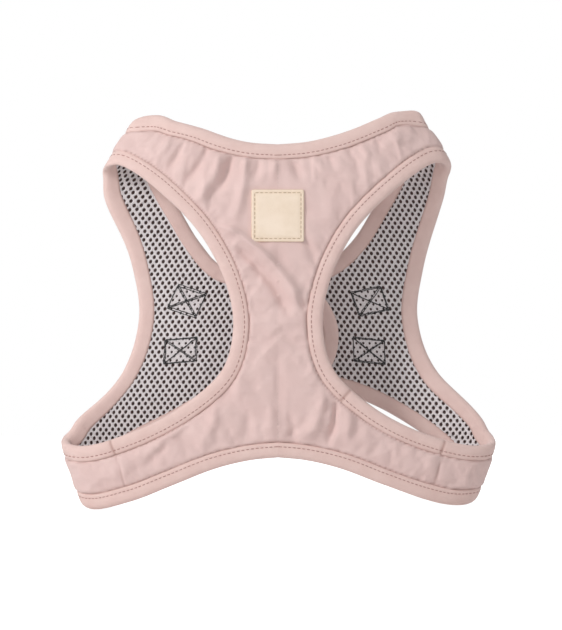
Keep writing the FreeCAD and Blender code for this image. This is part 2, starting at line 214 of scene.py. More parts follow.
# how the cloth lies: middle of each easing in x and z, its spread, and its shift in x and z
EASE = [
    (-106, 190, 24, 24, -4.6, 0.0), (-116, 84, 18, 28, 2.3, 0.0), (-122, 8, 16, 16, 1.0, -1.2),
    (113, 86, 22, 50, 2.4, 0.0), (104, 4, 34, 24, 0.0, 2.2), (-64, 234, 20, 14, 0.0, -1.4),
    (-8, 222, 36, 14, 0.0, -0.9), (90, 230, 18, 18, -1.5, -0.4), (0, 28, 62, 14, 0.0, 0.8),
    (84, 243, 9, 8, 2.6, 0.4), (74, 244, 7, 8, 0.4, -1.2), (-110, 110, 16, 30, 1.0, 0.0),
    (-112, 178, 14, 20, -0.8, 0.0), (110, 125, 16, 36, 1.3, 0.0), (-112, 160, 14, 18, -1.6, 0.0),
    (-120, 76, 16, 20, 2.0, 0.0), (-134, 47, 8, 7, -1.8, 0.0), (-129, 21, 8, 8, 1.6, 0.0),
    (-108, 212, 9, 9, 2.2, 0.0), (-93, 240, 8, 8, -1.4, 0.8), (-45, 230, 12, 12, 0.0, 1.0),
    (118, 197, 12, 12, 1.4, 0.0), (118, 92, 16, 26, 1.6, 0.0), (132, 47, 8, 8, 1.2, 0.0),
    (130, 20, 8, 8, -1.3, 0.0), (95, 4, 12, 10, 0.0, -0.8),
]
LEAN = 6.0               # how far the top of the chest leans back


def drape(points):
    """The loose lie of the cloth: shoulders and belly ends eased apart, the top of the chest leaning back."""
    x, y, z = points[..., 0], points[..., 1], points[..., 2]
    high = smooth(195, 225, z)
    dx = 0.9 * high * smooth(60, 100, -x)
    dz = 1.4 * high * smooth(45, 80, x) - 1.6 * high * smooth(55, 82, -x)
    for middle_x, middle_z, spread_x, spread_z, shift_x, shift_z in EASE:
        near = np.exp(-((x - middle_x) / spread_x) ** 2 - ((z - middle_z) / spread_z) ** 2)
        dx = dx + shift_x * near
        dz = dz + shift_z * near
    dy = LEAN * smooth(188, 246, z) * smooth(2, 16, -y)
    return np.stack([x + dx, y + dy, z + dz], axis=-1)


def to_pattern(points, back, side):
    """(x, z) points on the chest or a wing as pattern points (p, z)."""
    result = []
    table = TABLES[side] if back else TABLES["front"]
    for x, z in points:
        w = float(half_width(z))
        ratio = min(1.0, abs(x) / w) ** (SECTION_POWER / 2)
        angle = math.acos(math.copysign(ratio, x))
        distances = table[1]
        angles = lookup(table, distances, np.full_like(distances, z))
        distance = float(np.interp(angle, angles, distances))
        result.append((distance if back else -distance, z))
    return result


def rim_curve(side):
    back = RIGHT_NECK + RIGHT_TIP + RIGHT_BELLY if side == 1 else LEFT_NECK + LEFT_TIP + LEFT_BELLY
    points = to_pattern(NECK_FRONT, False, side) + to_pattern(back, True, side)
    return catmull(points + to_pattern(BELLY_FRONT, False, side), BINDING_STEP)


def leg_curve(side):
    front = RIGHT_LEG if side == 1 else LEFT_LEG
    return catmull(to_pattern(front, False, side) + to_pattern(LEG_BACK, True, side), BINDING_STEP, True)


def shear(points, side):
    """How far a line of constant p slides round the tube for each millimetre up."""
    p, z = points[:, 0], points[:, 1]
    up = (wrap(p, z + 1, 0.0, side) - wrap(p, z - 1, 0.0, side)) / 2
    round_way = wrap(p + 0.5, z, 0.0, side) - wrap(p - 0.5, z, 0.0, side)
    round_way /= np.linalg.norm(round_way, axis=1)[:, None]
    return (up * round_way).sum(1)


class Edge:
    """A bound edge: its pattern points, the run along it and the way into the cloth."""

    def __init__(self, curve, closed, side):
        self.curve, self.closed, self.side = curve, closed, side
        self.shear = shear(curve, side)
        if closed:
            tangent = np.roll(curve, -1, 0) - np.roll(curve, 1, 0)
        else:
            tangent = np.gradient(curve, axis=0)
        round_way = tangent[:, 0] + self.shear * tangent[:, 1]
        up = tangent[:, 1]
        if not closed:
            up = up.copy()
            up[[0, -1]] = 0
        length = np.hypot(round_way, up)
        lower = -round_way / length
        self.inward = np.stack([up / length - self.shear * lower, lower], axis=1)
        placed = wrap(curve[:, 0], curve[:, 1], 0.0, side)
        if closed:
            placed = np.vstack([placed, placed[:1]])
        steps = np.linalg.norm(np.diff(placed, axis=0), axis=1)
        self.run = np.concatenate([[0], np.cumsum(steps)])[:len(curve)]
        self.length = steps.sum()

    def at(self, run, inset):
        """Pattern points at given runs along the edge and a distance in from it."""
        runs, places, ways = self.run, self.curve, self.inward
        if self.closed:
            runs = np.append(runs, self.length)
            places, ways = np.vstack([places, places[:1]]), np.vstack([ways, ways[:1]])
        place = np.stack([np.interp(run, runs, places[:, k]) for k in (0, 1)], axis=-1)
        way = np.stack([np.interp(run, runs, ways[:, k]) for k in (0, 1)], axis=-1)
        return place + way * inset


def nearest(points, edge):
    """Distance to an edge over the cloth and the run along it, for many pattern points."""
    distance = np.empty(len(points))
    along = np.empty(len(points))
    for start in range(0, len(points), 4000):
        offset = points[start:start + 4000, None] - edge.curve[None]
        gap = np.hypot(offset[..., 0] + edge.shear * offset[..., 1], offset[..., 1])
        best = gap.argmin(1)
        distance[start:start + 4000] = gap[np.arange(len(gap)), best]
        along[start:start + 4000] = edge.run[best]
    return distance, along


def inside(points, polygon):
    """Which points lie in a closed polygon."""
    x, z = points[:, 0], points[:, 1]
    result = np.zeros(len(points), bool)
    a = polygon
    b = np.roll(polygon, -1, 0)
    for (x0, z0), (x1, z1) in zip(a, b):
        if z0 == z1:
            continue
        crosses = ((z0 > z) != (z1 > z)) & (x < (x1 - x0) * (z - z0) / (z1 - z0) + x0)
        result ^= crosses
    return result


def centre_line(side):
    """Pattern points up the middle of the chest, from belly to neck."""
    heights = np.linspace(BELLY_FRONT[-1][1], NECK_FRONT[0][1], 40)
    return np.array(to_pattern([(0, z) for z in heights], False, side))


STRAP_SEWN = 12.0        # half length of a strap's sewn end
STRAP_REACH = {0: 15.0, 1: 15.0, 2: 30.1, 3: 25.2}   # sewn middle to the bar, box by box


def box_frame(number):
    """Middle and axes of a stitched box, in pattern points; the first axis runs towards the spine."""
    x, z, slope = BOXES[number]
    side = 1 if x > 0 else -1
    turn = math.radians(slope)
    middle = np.array(to_pattern([(side * x, z)], True, side)[0])
    ahead = (abs(x) - 4 * math.cos(turn), z - side * 4 * math.sin(turn))
    ahead = np.array(to_pattern([ahead], True, side)[0])
    along = (ahead - middle) / np.linalg.norm(ahead - middle)
    return side, middle, along, np.array([-along[1], along[0]])


STRAP_LINES = {number: (*box_frame(number), STRAP_REACH[number]) for number in range(len(BOXES))}


class Pattern:
    """Edges of one half of the harness in its flat pattern."""

    def __init__(self, side):
        self.side = side
        self.rim = Edge(rim_curve(side), False, side)
        self.leg = Edge(leg_curve(side), True, side)
        self.outline = np.vstack([self.rim.curve, centre_line(side)[1:-1]])

    def covers(self, points, inset):
        """Points on the cloth at least an inset from every bound edge."""
        ok = inside(points, self.outline) & ~inside(points, self.leg.curve)
        rim_gap = nearest(points, self.rim)[0]
        leg_gap = nearest(points, self.leg)[0]
        return ok & (rim_gap > inset) & (leg_gap > inset)


PATTERNS = {side: Pattern(side) for side in SIDES}


def waves(t, seed, scale):
    """Soft one-dimensional noise in -1..1."""
    rng = np.random.default_rng(seed)
    total = np.zeros_like(t)
    for k in range(5):
        total += np.sin(2 * math.pi * t / (scale * (0.7 + 0.35 * k)) + rng.uniform(0, 6.28)) / (1 + 0.4 * k)
    return total / 2.6


def blobs(x, z, seed, scale):
    """Soft two-dimensional noise in about -1..1."""
    rng = np.random.default_rng(seed)
    total = np.zeros_like(x)
    for _ in range(9):
        turn = rng.uniform(0, math.pi)
        size = scale * rng.uniform(0.6, 1.6)
        phase = rng.uniform(0, 6.28)
        total += np.sin(2 * math.pi * (x * math.cos(turn) + z * math.sin(turn)) / size + phase)
    return total / 5


# folds of the chest cloth, in (x, z): from, to, width, height (negative sinks)
FOLDS = [
    ((-34, 216), (-50, 184), 4.0, 1.5), ((-41, 222), (-56, 197), 3.2, -1.3),
    ((-27, 218), (-38, 190), 3.4, -1.5), ((-20, 216), (-26, 176), 3.6, 1.2),
    ((-57, 222), (-70, 203), 3.4, -1.1), ((-65, 226), (-72, 214), 2.8, 0.9),
    ((-11, 214), (-14, 200), 2.6, -0.9), ((-2, 213), (-3, 200), 2.6, 0.8), ((7, 213), (14, 199), 3.0, -1.0),
    ((21, 214), (27, 203), 2.8, 0.9), ((29, 216), (34, 205), 2.6, -0.8), ((41, 220), (47, 207), 3.0, -1.0),
    ((49, 222), (55, 211), 2.8, 0.9), ((58, 225), (63, 214), 2.8, -0.9), ((68, 229), (72, 219), 2.8, 0.8),
    ((-34, 171), (-20, 164), 3.0, 2.2), ((-20, 164), (14, 126), 3.6, 2.3),
    ((-24, 158), (6, 122), 3.2, -2.0), ((16, 163), (22, 152), 2.6, -1.0), ((12, 130), (28, 96), 3.4, -1.6),
    ((18, 112), (22, 78), 4.6, 1.1), ((28, 69), (18, 44), 4.2, 1.4), ((35, 66), (30, 40), 2.4, -1.9),
    ((43, 62), (40, 42), 4.0, 1.2), ((-38, 62), (-44, 40), 4.2, 1.2), ((-18, 58), (-20, 40), 4.2, -1.1),
    ((-4, 62), (-6, 42), 4.6, 1.0), ((7, 58), (9, 40), 3.4, -0.9), ((-30, 104), (-22, 70), 5.0, 1.0),
    ((-28, 90), (-34, 66), 3.6, -1.0), ((60, 50), (96, 28), 5.0, 0.8), ((-58, 52), (-98, 26), 6.0, 0.7),
    ((-66, 40), (-92, 20), 4.0, -0.6),
]
FOLD_DEPTH = 1.9
SEAMS = [((-98.0, 34), (-92, 9)), ((98.5, 29), (92, 8))]


def chest_folds(x, z):
    """Height of the listed folds, and the painted shade along the side seams."""
    height = np.zeros_like(x)
    for (x0, z0), (x1, z1), width, tall in FOLDS:
        dx, dz = x1 - x0, z1 - z0
        length = math.hypot(dx, dz)
        along = ((x - x0) * dx + (z - z0) * dz) / length
        bend = 0.05 * length * np.sin(math.pi * np.clip(along / length, 0, 1))
        across = ((x - x0) * dz - (z - z0) * dx) / length + bend
        spread = 0.8 * width * (0.7 + 0.6 * np.clip(along / length, 0, 1))
        ends = smooth(-4, 5, along) * (1 - smooth(length - 8, length + 6, along))
        height += FOLD_DEPTH * tall * ends * np.exp(-(across / spread) ** 2)
    tone = np.zeros_like(x)
    for (x0, z0), (x1, z1) in SEAMS:
        dx, dz = x1 - x0, z1 - z0
        length = math.hypot(dx, dz)
        across = ((x - x0) * dz - (z - z0) * dx) / length
        along = ((x - x0) * dx + (z - z0) * dz) / length
        ends = smooth(-14, -12, along) * (1 - smooth(length + 12, length + 14, along))
        height -= 0.9 * ends * np.exp(-(across / 1.1) ** 2)
        # Painted shade: a dark line in each side seam's groove.
        tone += 0.7 * ends * np.exp(-(across / 0.5) ** 2)
    return height, tone


# ---------- meshes ----------

def new_mesh(name, points, faces, pattern=None, tone=None, material=None):
    """A mesh object from millimetre points; pattern gives its UVs, and the next argument a painted shade
    attribute that darkens its colour in seams and creases.
    """
    mesh = bpy.data.meshes.new(name)
    mesh.from_pydata((np.asarray(points) * MM).tolist(), [], [tuple(int(i) for i in f) for f in faces])
    if pattern is not None:
        layer = mesh.uv_layers.new(name="cloth")
        loops = np.empty(len(mesh.loops), np.int32)
        mesh.loops.foreach_get("vertex_index", loops)
        layer.data.foreach_set("uv", (np.asarray(pattern)[loops] * MM).astype(np.float32).ravel())
    if tone is not None:
        shade = mesh.attributes.new("tone", "FLOAT", "POINT")
        shade.data.foreach_set("value", np.asarray(tone, np.float32))
    mesh.polygons.foreach_set("use_smooth", [True] * len(mesh.polygons))
    mesh.validate()
    mesh.update()
    piece = bpy.data.objects.new(name, mesh)
    bpy.context.collection.objects.link(piece)
    if material:
        mesh.materials.append(material)
    return piece


def grid_faces(rows, columns, closed_rows=False, closed_columns=False):
    faces = []
    for i in range(rows if closed_rows else rows - 1):
        for j in range(columns if closed_columns else columns - 1):
            i1, j1 = (i + 1) % rows, (j + 1) % columns
            faces.append((i * columns + j, i * columns + j1, i1 * columns + j1, i1 * columns + j))
    return faces


def compact(points, faces, *others):
    """Drop the points that no face uses."""
    faces = np.asarray(faces)
    used = np.unique(faces)
    renumber = np.full(len(points), -1)
    renumber[used] = np.arange(len(used))
    return [np.asarray(points)[used], renumber[faces]] + [np.asarray(o)[used] for o in others]


# ---------- materials ----------

def material(name, roughness=0.8):
    mat = bpy.data.materials.new(name)
    mat.use_nodes = True
    nodes, links = mat.node_tree.nodes, mat.node_tree.links
    shader = nodes["Principled BSDF"]
    shader.inputs["Roughness"].default_value = roughness
    return mat, nodes, links, shader


def linear(red, green, blue):
    """A colour written 0 to 255 as linear light."""
    values = []
    for v in (red, green, blue):
        v /= 255
        values.append(v / 12.92 if v <= 0.04045 else ((v + 0.055) / 1.055) ** 2.4)
    return (*values, 1)


def ramp(nodes, links, source, stops):
    node = nodes.new("ShaderNodeValToRGB")
    links.new(source, node.inputs["Fac"])
    elements = node.color_ramp.elements
    while len(elements) < len(stops):
        elements.new(0.5)
    for element, (place, colour) in zip(elements, stops):
        element.position = place
        element.color = colour
    return node.outputs["Color"]


def noise(nodes, links, vector, scale, detail=3, roughness=0.55):
    node = nodes.new("ShaderNodeTexNoise")
    node.inputs["Scale"].default_value = scale
    node.inputs["Detail"].default_value = detail
    node.inputs["Roughness"].default_value = roughness
    links.new(vector, node.inputs["Vector"])
    return node.outputs["Fac"]


def math_node(nodes, links, operation, a, b):
    node = nodes.new("ShaderNodeMath")
    node.operation = operation
    for socket, value in zip(node.inputs, (a, b)):
        if isinstance(value, (int, float)):
            socket.default_value = value
        else:
            links.new(value, socket)
    return node.outputs[0]


def bump(nodes, links, shader, height, distance, strength=1.0):
    node = nodes.new("ShaderNodeBump")
    node.inputs["Strength"].default_value = strength
    node.inputs["Distance"].default_value = distance
    links.new(height, node.inputs["Height"])
    links.new(node.outputs["Normal"], shader.inputs["Normal"])


def weave(nodes, links, vector, pitch):
    """Fine crossing yarns, as a height from two waves."""
    heights = []
    for direction in ("X", "Y"):
        wave = nodes.new("ShaderNodeTexWave")
        wave.bands_direction = direction
        wave.inputs["Scale"].default_value = 0.314 / pitch
        wave.inputs["Distortion"].default_value = 0.6
        wave.inputs["Detail"].default_value = 1
        links.new(vector, wave.inputs["Vector"])
        heights.append(wave.outputs["Fac"])
    return math_node(nodes, links, "MULTIPLY", heights[0], heights[1])


# Painted shade: mixes a colour towards a dark one where the painted shade attribute is high, in seams,
# creases and grooves.
def mix_painted_shade(nodes, links, colour, dark):
    tone = nodes.new("ShaderNodeAttribute")
    tone.attribute_name = "tone"
    mix = nodes.new("ShaderNodeMix")
    mix.data_type = "RGBA"
    links.new(tone.outputs["Fac"], mix.inputs[0])
    links.new(colour, mix.inputs[6])
    mix.inputs[7].default_value = dark
    return mix.outputs[2]


def cloth_material(name, light, dark, seam, pitch=0.00042, depth=0.00006, blotch=55):
    """Matte knitted cloth: soft blotches, fine yarns, a little fuzz, and painted shade in seams and creases.
    """
    mat, nodes, links, shader = material(name, 0.88)
    shader.inputs["Sheen Weight"].default_value = 0.25
    shader.inputs["Sheen Roughness"].default_value = 0.6
    shader.inputs["Specular IOR Level"].default_value = 0.22
    coordinates = nodes.new("ShaderNodeTexCoord")
    uv = coordinates.outputs["UV"]
    patches = noise(nodes, links, uv, blotch, 4, 0.6)
    speckle = noise(nodes, links, uv, 2600, 2, 0.5)
    blend = math_node(nodes, links, "ADD", math_node(nodes, links, "MULTIPLY", patches, 0.7),
                      math_node(nodes, links, "MULTIPLY", speckle, 0.3))
    colour = ramp(nodes, links, blend, [(0.3, dark), (0.68, light)])
    links.new(mix_painted_shade(nodes, links, colour, seam), shader.inputs["Base Color"])
    yarns = weave(nodes, links, uv, pitch)
    height = math_node(nodes, links, "ADD", yarns, math_node(nodes, links, "MULTIPLY", speckle, 0.6))
    bump(nodes, links, shader, height, depth)
    return mat


# The third colour of each cloth is painted shade, which the cloth darkens towards in seams, grooves and
# creases.
SHELL_CLOTH = cloth_material("knit_cloth", linear(228, 200, 195), linear(219, 189, 184),
                             linear(150, 108, 100))
TAPE_CLOTH = cloth_material("binding_cloth", linear(230, 202, 195), linear(221, 190, 183),
                            linear(168, 126, 116), pitch=0.00034, depth=0.00004, blotch=90)


def yarn_material(name, light, dark, roughness=0.7, sheen=0.2):
    mat, nodes, links, shader = material(name, roughness)
    shader.inputs["Sheen Weight"].default_value = sheen
    coordinates = nodes.new("ShaderNodeTexCoord")
    grain = noise(nodes, links, coordinates.outputs["Object"], 1800, 3, 0.6)
    links.new(ramp(nodes, links, grain, [(0.3, dark), (0.7, light)]), shader.inputs["Base Color"])
    bump(nodes, links, shader, grain, 0.00008)
    return mat


MESH_YARN = yarn_material("mesh_yarn", linear(240, 234, 235), linear(206, 199, 200))
# Painted shade: the sheet behind the mesh holes is coloured dark to stand in for the shade deep in the holes.
PAINTED_HOLE_SHADE = yarn_material("spacer_yarn", linear(104, 86, 82), linear(66, 52, 50), 0.95, 0.0)
THREAD = yarn_material("seam_thread", linear(190, 148, 140), linear(160, 118, 111))
DARK_THREAD = yarn_material("dark_thread", linear(62, 60, 60), linear(34, 32, 33))
LABEL_THREAD = yarn_material("label_thread", linear(205, 180, 152), linear(176, 150, 122))


def leather_material():
    """Smooth pale leather with a fine pore grain."""
    mat, nodes, links, shader = material("patch_leather", 0.62)
    shader.inputs["Specular IOR Level"].default_value = 0.35
    vector = nodes.new("ShaderNodeTexCoord").outputs["Object"]
    cloud = noise(nodes, links, vector, 90, 4, 0.6)
    colour = ramp(nodes, links, cloud, [(0.3, linear(236, 216, 194)), (0.7, linear(244, 226, 207))])
    # The second colour is painted shade, for the stitch groove and the rolled edge.
    links.new(mix_painted_shade(nodes, links, colour, linear(214, 186, 156)), shader.inputs["Base Color"])
    pores = nodes.new("ShaderNodeTexVoronoi")
    pores.inputs["Scale"].default_value = 1700
    links.new(vector, pores.inputs["Vector"])
    height = math_node(nodes, links, "ADD", pores.outputs["Distance"], noise(nodes, links, vector, 700, 3))
    bump(nodes, links, shader, height, 0.00005, 0.7)
    return mat


LEATHER = leather_material()


def webbing_material():
    """Flat-woven nylon: fine crossing yarns along and across the strap."""
    mat, nodes, links, shader = material("woven_webbing", 0.62)
    shader.inputs["Sheen Weight"].default_value = 0.2
    uv = nodes.new("ShaderNodeTexCoord").outputs["UV"]
    yarns = weave(nodes, links, uv, 0.0011)
    fuzz = noise(nodes, links, uv, 2400, 3)
    height = math_node(nodes, links, "ADD", yarns, math_node(nodes, links, "MULTIPLY", fuzz, 0.3))
    colour = ramp(nodes, links, height, [(0.1, linear(30, 30, 32)), (0.9, linear(64, 63, 66))])
    links.new(colour, shader.inputs["Base Color"])
    bump(nodes, links, shader, height, 0.00022)
    return mat


def plastic_material():
    """Satin acetal with a faint moulded texture."""
    mat, nodes, links, shader = material("satin_acetal", 0.42)
    vector = nodes.new("ShaderNodeTexCoord").outputs["Object"]
    grain = noise(nodes, links, vector, 2200, 2)
    links.new(ramp(nodes, links, grain, [(0.35, linear(32, 32, 34)), (0.65, linear(42, 42, 45))]),
              shader.inputs["Base Color"])
    rough = math_node(nodes, links, "ADD", 0.34, math_node(nodes, links, "MULTIPLY", grain, 0.16))
    links.new(rough, shader.inputs["Roughness"])
    bump(nodes, links, shader, grain, 0.00003, 0.6)
    return mat


def metal_material():
    """Nickel-plated steel with faint polishing marks."""
    mat, nodes, links, shader = material("nickel_plate", 0.24)
    shader.inputs["Metallic"].default_value = 1.0
    vector = nodes.new("ShaderNodeTexCoord").outputs["Object"]
    marks = noise(nodes, links, vector, 900, 4)
    links.new(ramp(nodes, links, marks, [(0.3, linear(196, 194, 190)), (0.7, linear(214, 212, 208))]),
              shader.inputs["Base Color"])
    links.new(math_node(nodes, links, "ADD", 0.16, math_node(nodes, links, "MULTIPLY", marks, 0.16)),
              shader.inputs["Roughness"])
    return mat


def pile_material(name, light, dark, scale, depth):
    """Hook or loop pile: a coarse broken fuzz."""
    mat, nodes, links, shader = material(name, 0.9)
    vector = nodes.new("ShaderNodeTexCoord").outputs["Object"]
    cells = nodes.new("ShaderNodeTexVoronoi")
    cells.inputs["Scale"].default_value = scale
    links.new(vector, cells.inputs["Vector"])
    links.new(ramp(nodes, links, cells.outputs["Distance"], [(0.0, light), (0.6, dark)]),
              shader.inputs["Base Color"])
    bump(nodes, links, shader, cells.outputs["Distance"], depth)
    return mat


WEBBING = webbing_material()
PLASTIC = plastic_material()
NICKEL = metal_material()
HOOK_PILE = pile_material("hook_pile", linear(60, 58, 60), linear(28, 27, 29), 900, 0.0005)
LOOP_PILE = pile_material("loop_pile", linear(72, 69, 70), linear(34, 32, 34), 600, 0.0006)


# ---------- outer cloth ----------

def pattern_grid(side, step):
    """Rows of constant height; columns spread from the chest's middle to beyond the spine."""
    heights = np.arange(-4, 246, step)
    front_mid = np.array(to_pattern([(0, z) for z in heights], False, side))[:, 0]
    back_mid = np.array(to_pattern([(0, z) for z in heights], True, side))[:, 0]
    front = np.linspace(-1, 0, int(round(138 / step)) + 1)
    back = np.linspace(0, 1.36, int(round(185 / step)) + 1)[1:]
    p = np.concatenate([-front_mid[:, None] * front[None], back_mid[:, None] * back[None]], axis=1)
    z = np.repeat(heights[:, None], p.shape[1], axis=1)
    return p, z


def simulate_sheet(points, faces, pinned):
    """Let the quilted cloth buckle: it is cut larger than the seams that hold its edges."""
    sheet = new_mesh("cloth_trial", points, faces)
    hold = sheet.vertex_groups.new(name="hold")
    for index, weight in enumerate(pinned):
        hold.add([index], float(weight), "REPLACE")
    cloth = sheet.modifiers.new("Cloth", "CLOTH")
    settings = cloth.settings
    settings.quality = 6
    settings.mass = 0.25
    settings.tension_stiffness = 25
    settings.compression_stiffness = 25
    settings.shear_stiffness = 12
    settings.bending_stiffness = 1.2
    settings.air_damping = 4
    settings.vertex_group_mass = "hold"
    settings.pin_stiffness = 1.0
    settings.shrink_min = -0.045
    settings.use_pressure = True
    settings.uniform_pressure_force = 1.2
    settings.effector_weights.gravity = 0
    cloth.collision_settings.use_collision = False
    cloth.point_cache.frame_start = 1
    cloth.point_cache.frame_end = SIM_FRAMES
    scene = bpy.context.scene
    for step in range(1, SIM_FRAMES + 1):
        scene.frame_set(step)
    settled = sheet.evaluated_get(bpy.context.evaluated_depsgraph_get()).to_mesh()
    result = np.empty(len(points) * 3)
    settled.vertices.foreach_get("co", result)
    scene.frame_set(1)
    bpy.data.objects.remove(sheet, do_unlink=True)
    return result.reshape(-1, 3) / MM


SIM_FRAMES = 22
SIM_CAP = 3.5
QUILT = 0.75             # share of the buckling kept, once its broad swelling is taken out


def softened(field, reach):
    """The grid averaged over its neighbours, `reach` times over along each axis."""
    for _ in range(reach):
        for axis in (0, 1):
            padded = np.concatenate([field.take([0], axis), field, field.take([-1], axis)], axis)
            count = field.shape[axis]
            field = sum(padded.take(range(k, k + count), axis) for k in range(3)) / 3
    return field


def clear_of_label(side, p, z):
    """0 where the patch holds the cloth flat, 1 away from it and on the flaps' outer half."""
    x = wrap(p.ravel(), z.ravel(), 0.0, side)[:, 0].reshape(p.shape)
    beyond_x = np.abs(x - (LABEL[0] + LABEL[1]) / 2) - (LABEL[1] - LABEL[0]) / 2
    beyond_z = np.abs(z - (LABEL[2] + LABEL[3]) / 2) - (LABEL[3] - LABEL[2]) / 2
    return np.where(p < 0, smooth(0, 7, np.maximum(beyond_x, beyond_z)), 1.0)


def quilt_field():
    """Buckled height of the outer cloth on both pattern grids, in millimetres."""
    grids = {side: pattern_grid(side, CLOTH_STEP) for side in SIDES}
    fields = {side: np.zeros_like(grids[side][0]) for side in SIDES}
    points, faces, pins, owners = [], [], [], []
    offset = 0
    middle = {}
    for side in SIDES:
        p, z = grids[side]
        rows, columns = p.shape
        flat = np.stack([p.ravel(), z.ravel()], axis=1)
        pattern = PATTERNS[side]
        kept = pattern.covers(flat, EDGE_WIDTH - 2.0)
        kept |= (np.arange(flat.shape[0]) % columns == 0) & (flat[:, 1] > 40) & (flat[:, 1] < 213)
        cells = [f for f in grid_faces(rows, columns) if all(kept[list(f)])]
        if side == -1:
            cells = [f[::-1] for f in cells]
        gap = np.minimum(nearest(flat, pattern.rim)[0], nearest(flat, pattern.leg)[0])
        placed = wrap(flat[:, 0], flat[:, 1], 0.0, side)
        number = np.arange(rows * columns) + offset
        if side == -1:
            first = np.arange(rows) * columns
            number[first] = middle["index"]
        else:
            middle["index"] = np.arange(rows) * columns
        faces += [tuple(number[i] for i in f) for f in cells]
        points.append(placed)
        pins.append(np.where(gap < EDGE_WIDTH + 0.4, 1.0, 0.02))
        owners.append(number)
        offset += rows * columns
    points, pins = np.vstack(points), np.concatenate(pins)
    used, cells, pin = compact(points, faces, pins)
    settled = simulate_sheet(used, cells, pin)
    index = np.unique(np.asarray(faces))
    moved = np.zeros(len(points))
    shift = settled - used
    normal = np.zeros_like(used)
    tri = used[cells]
    face_normal = np.cross(tri[:, 2] - tri[:, 0], tri[:, 3] - tri[:, 1])
    for k in range(4):
        np.add.at(normal, cells[:, k], face_normal)
    normal /= np.linalg.norm(normal, axis=1)[:, None] + 1e-9
    outward = np.sign((normal * np.stack([used[:, 0] / 90, used[:, 1] / 20, 0 * used[:, 0]], 1)).sum(1))
    moved[index] = np.clip((shift * normal).sum(1) * outward, -SIM_CAP, SIM_CAP)
    shape = grids[1][0].shape
    number = dict(zip(SIDES, owners))
    number = np.hstack([number[-1].reshape(shape)[:, ::-1], number[1].reshape(shape)[:, 1:]])
    sewn = np.isin(number, index).astype(float)
    wrinkles = moved[number] - softened(moved[number] * sewn, 5) / (softened(sewn, 5) + 1e-6)
    wrinkles *= QUILT * sewn
    halves = {-1: wrinkles[:, shape[1] - 1::-1], 1: wrinkles[:, shape[1] - 1:]}
    for side in SIDES:
        fields[side] = halves[side] * clear_of_label(side, *grids[side])
    return grids, fields


def doubled(field):
    """A grid at half the spacing, smoothly filled in."""
    for axis in (0, 1):
        steps = field.shape[axis]
        middle = (np.take(field, range(steps - 1), axis) + np.take(field, range(1, steps), axis)) / 2
        shape = list(field.shape)
        shape[axis] = 2 * field.shape[axis] - 1
        wide = np.empty(shape)
        if axis == 0:
            wide[0::2], wide[1::2] = field, middle
        else:
            wide[:, 0::2], wide[:, 1::2] = field, middle
        field = wide
    return field


def tautness(p):
    """Share of the wrinkles left near the side folds, where the cloth is drawn tight."""
    return 0.25 + 0.75 * smooth(2, 16, np.abs(p))


def relief(side, p, z):
    """Height of the padded cloth over the tube, its painted shade along seams, and where straps and tape
    press it flat.
    """
    flat = np.stack([p.ravel(), z.ravel()], axis=1)
    pattern = PATTERNS[side]
    height = np.zeros(len(flat))
    tone = np.zeros(len(flat))
    bulge = np.full(len(flat), 1e9)
    for number, edge in enumerate((pattern.rim, pattern.leg)):
        gap, along = nearest(flat, edge)
        gap = gap - EDGE_WIDTH
        seed = 11 + number * 7 + (3 if side == 1 else 5)
        ends = 1.0 if edge.closed else smooth(0, 9, along) * smooth(0, 9, edge.length - along)
        pucker = waves(along, seed, 9.0) * np.exp(-np.clip(gap, 0, None) / 6.5) * smooth(-1.5, 2.5, gap)
        near_tape = np.exp(-np.clip(gap, 0, None) / 2.6)
        pucker += 0.15 * waves(along, seed + 1, 3.6) * near_tape * smooth(-1.5, 1.2, gap)
        height += 0.43 * ends * pucker * tautness(flat[:, 0])
        # Painted shade: a dark line in the groove where the cloth meets the tape.
        tone += 0.55 * np.exp(-(gap / 0.45) ** 2)
        bulge = np.minimum(bulge, gap)
    height += 1.75 * smooth(-0.9, 1.5, bulge) - 1.5 + 0.65 * smooth(0.5, 9, bulge)
    x = wrap(flat[:, 0], flat[:, 1], 0.0, side)[:, 0]
    folds, seam = chest_folds(x, flat[:, 1])
    front = flat[:, 0] < 0
    taut = tautness(flat[:, 0])
    calm = smooth(-1, 3, bulge) * taut
    height += np.where(front, folds * calm, 0.0) + 0.7 * (1 - taut) * smooth(-1, 3, bulge)
    # Painted shade along the side seams, on the chest.
    tone += np.where(front, 0.75 * seam, 0.0)
    height += 0.30 * blobs(x, flat[:, 1], 21, 26) * calm
    height += 0.12 * blobs(x, flat[:, 1], 31, 9) * calm
    pressed = np.zeros(len(flat))
    for owner, middle, along, across, reach in STRAP_LINES.values():
        if owner == side:
            s, v = (flat - middle) @ along, np.abs((flat - middle) @ across)
            cover = smooth(-STRAP_SEWN - 2.2, -STRAP_SEWN - 0.4, s) * (1 - smooth(reach + 1, reach + 4, s))
            pressed = np.maximum(pressed, cover * (1 - smooth(10.4, 12.4, v)))
    if side == -1:
        (left, right), (bottom, top) = CLOSURE
        beyond = np.maximum(np.abs(x - (left + right) / 2) - (right - left) / 2,
                            np.abs(flat[:, 1] - (bottom + top) / 2) - (top - bottom) / 2)
        pressed = np.maximum(pressed, np.where(front, 0, 1 - smooth(0.8, 3.5, beyond)))
    height = height * (1 - pressed) - 0.15 * pressed
    return height.reshape(p.shape), np.clip(tone, 0, 1).reshape(p.shape), pressed.reshape(p.shape)


CLOTH_LOW = -2.3         # the foam behind the cloth stops a fold from going deeper
BACK_QUILT = 0.35        # share of the simulated buckling kept on the back, next to the chest's


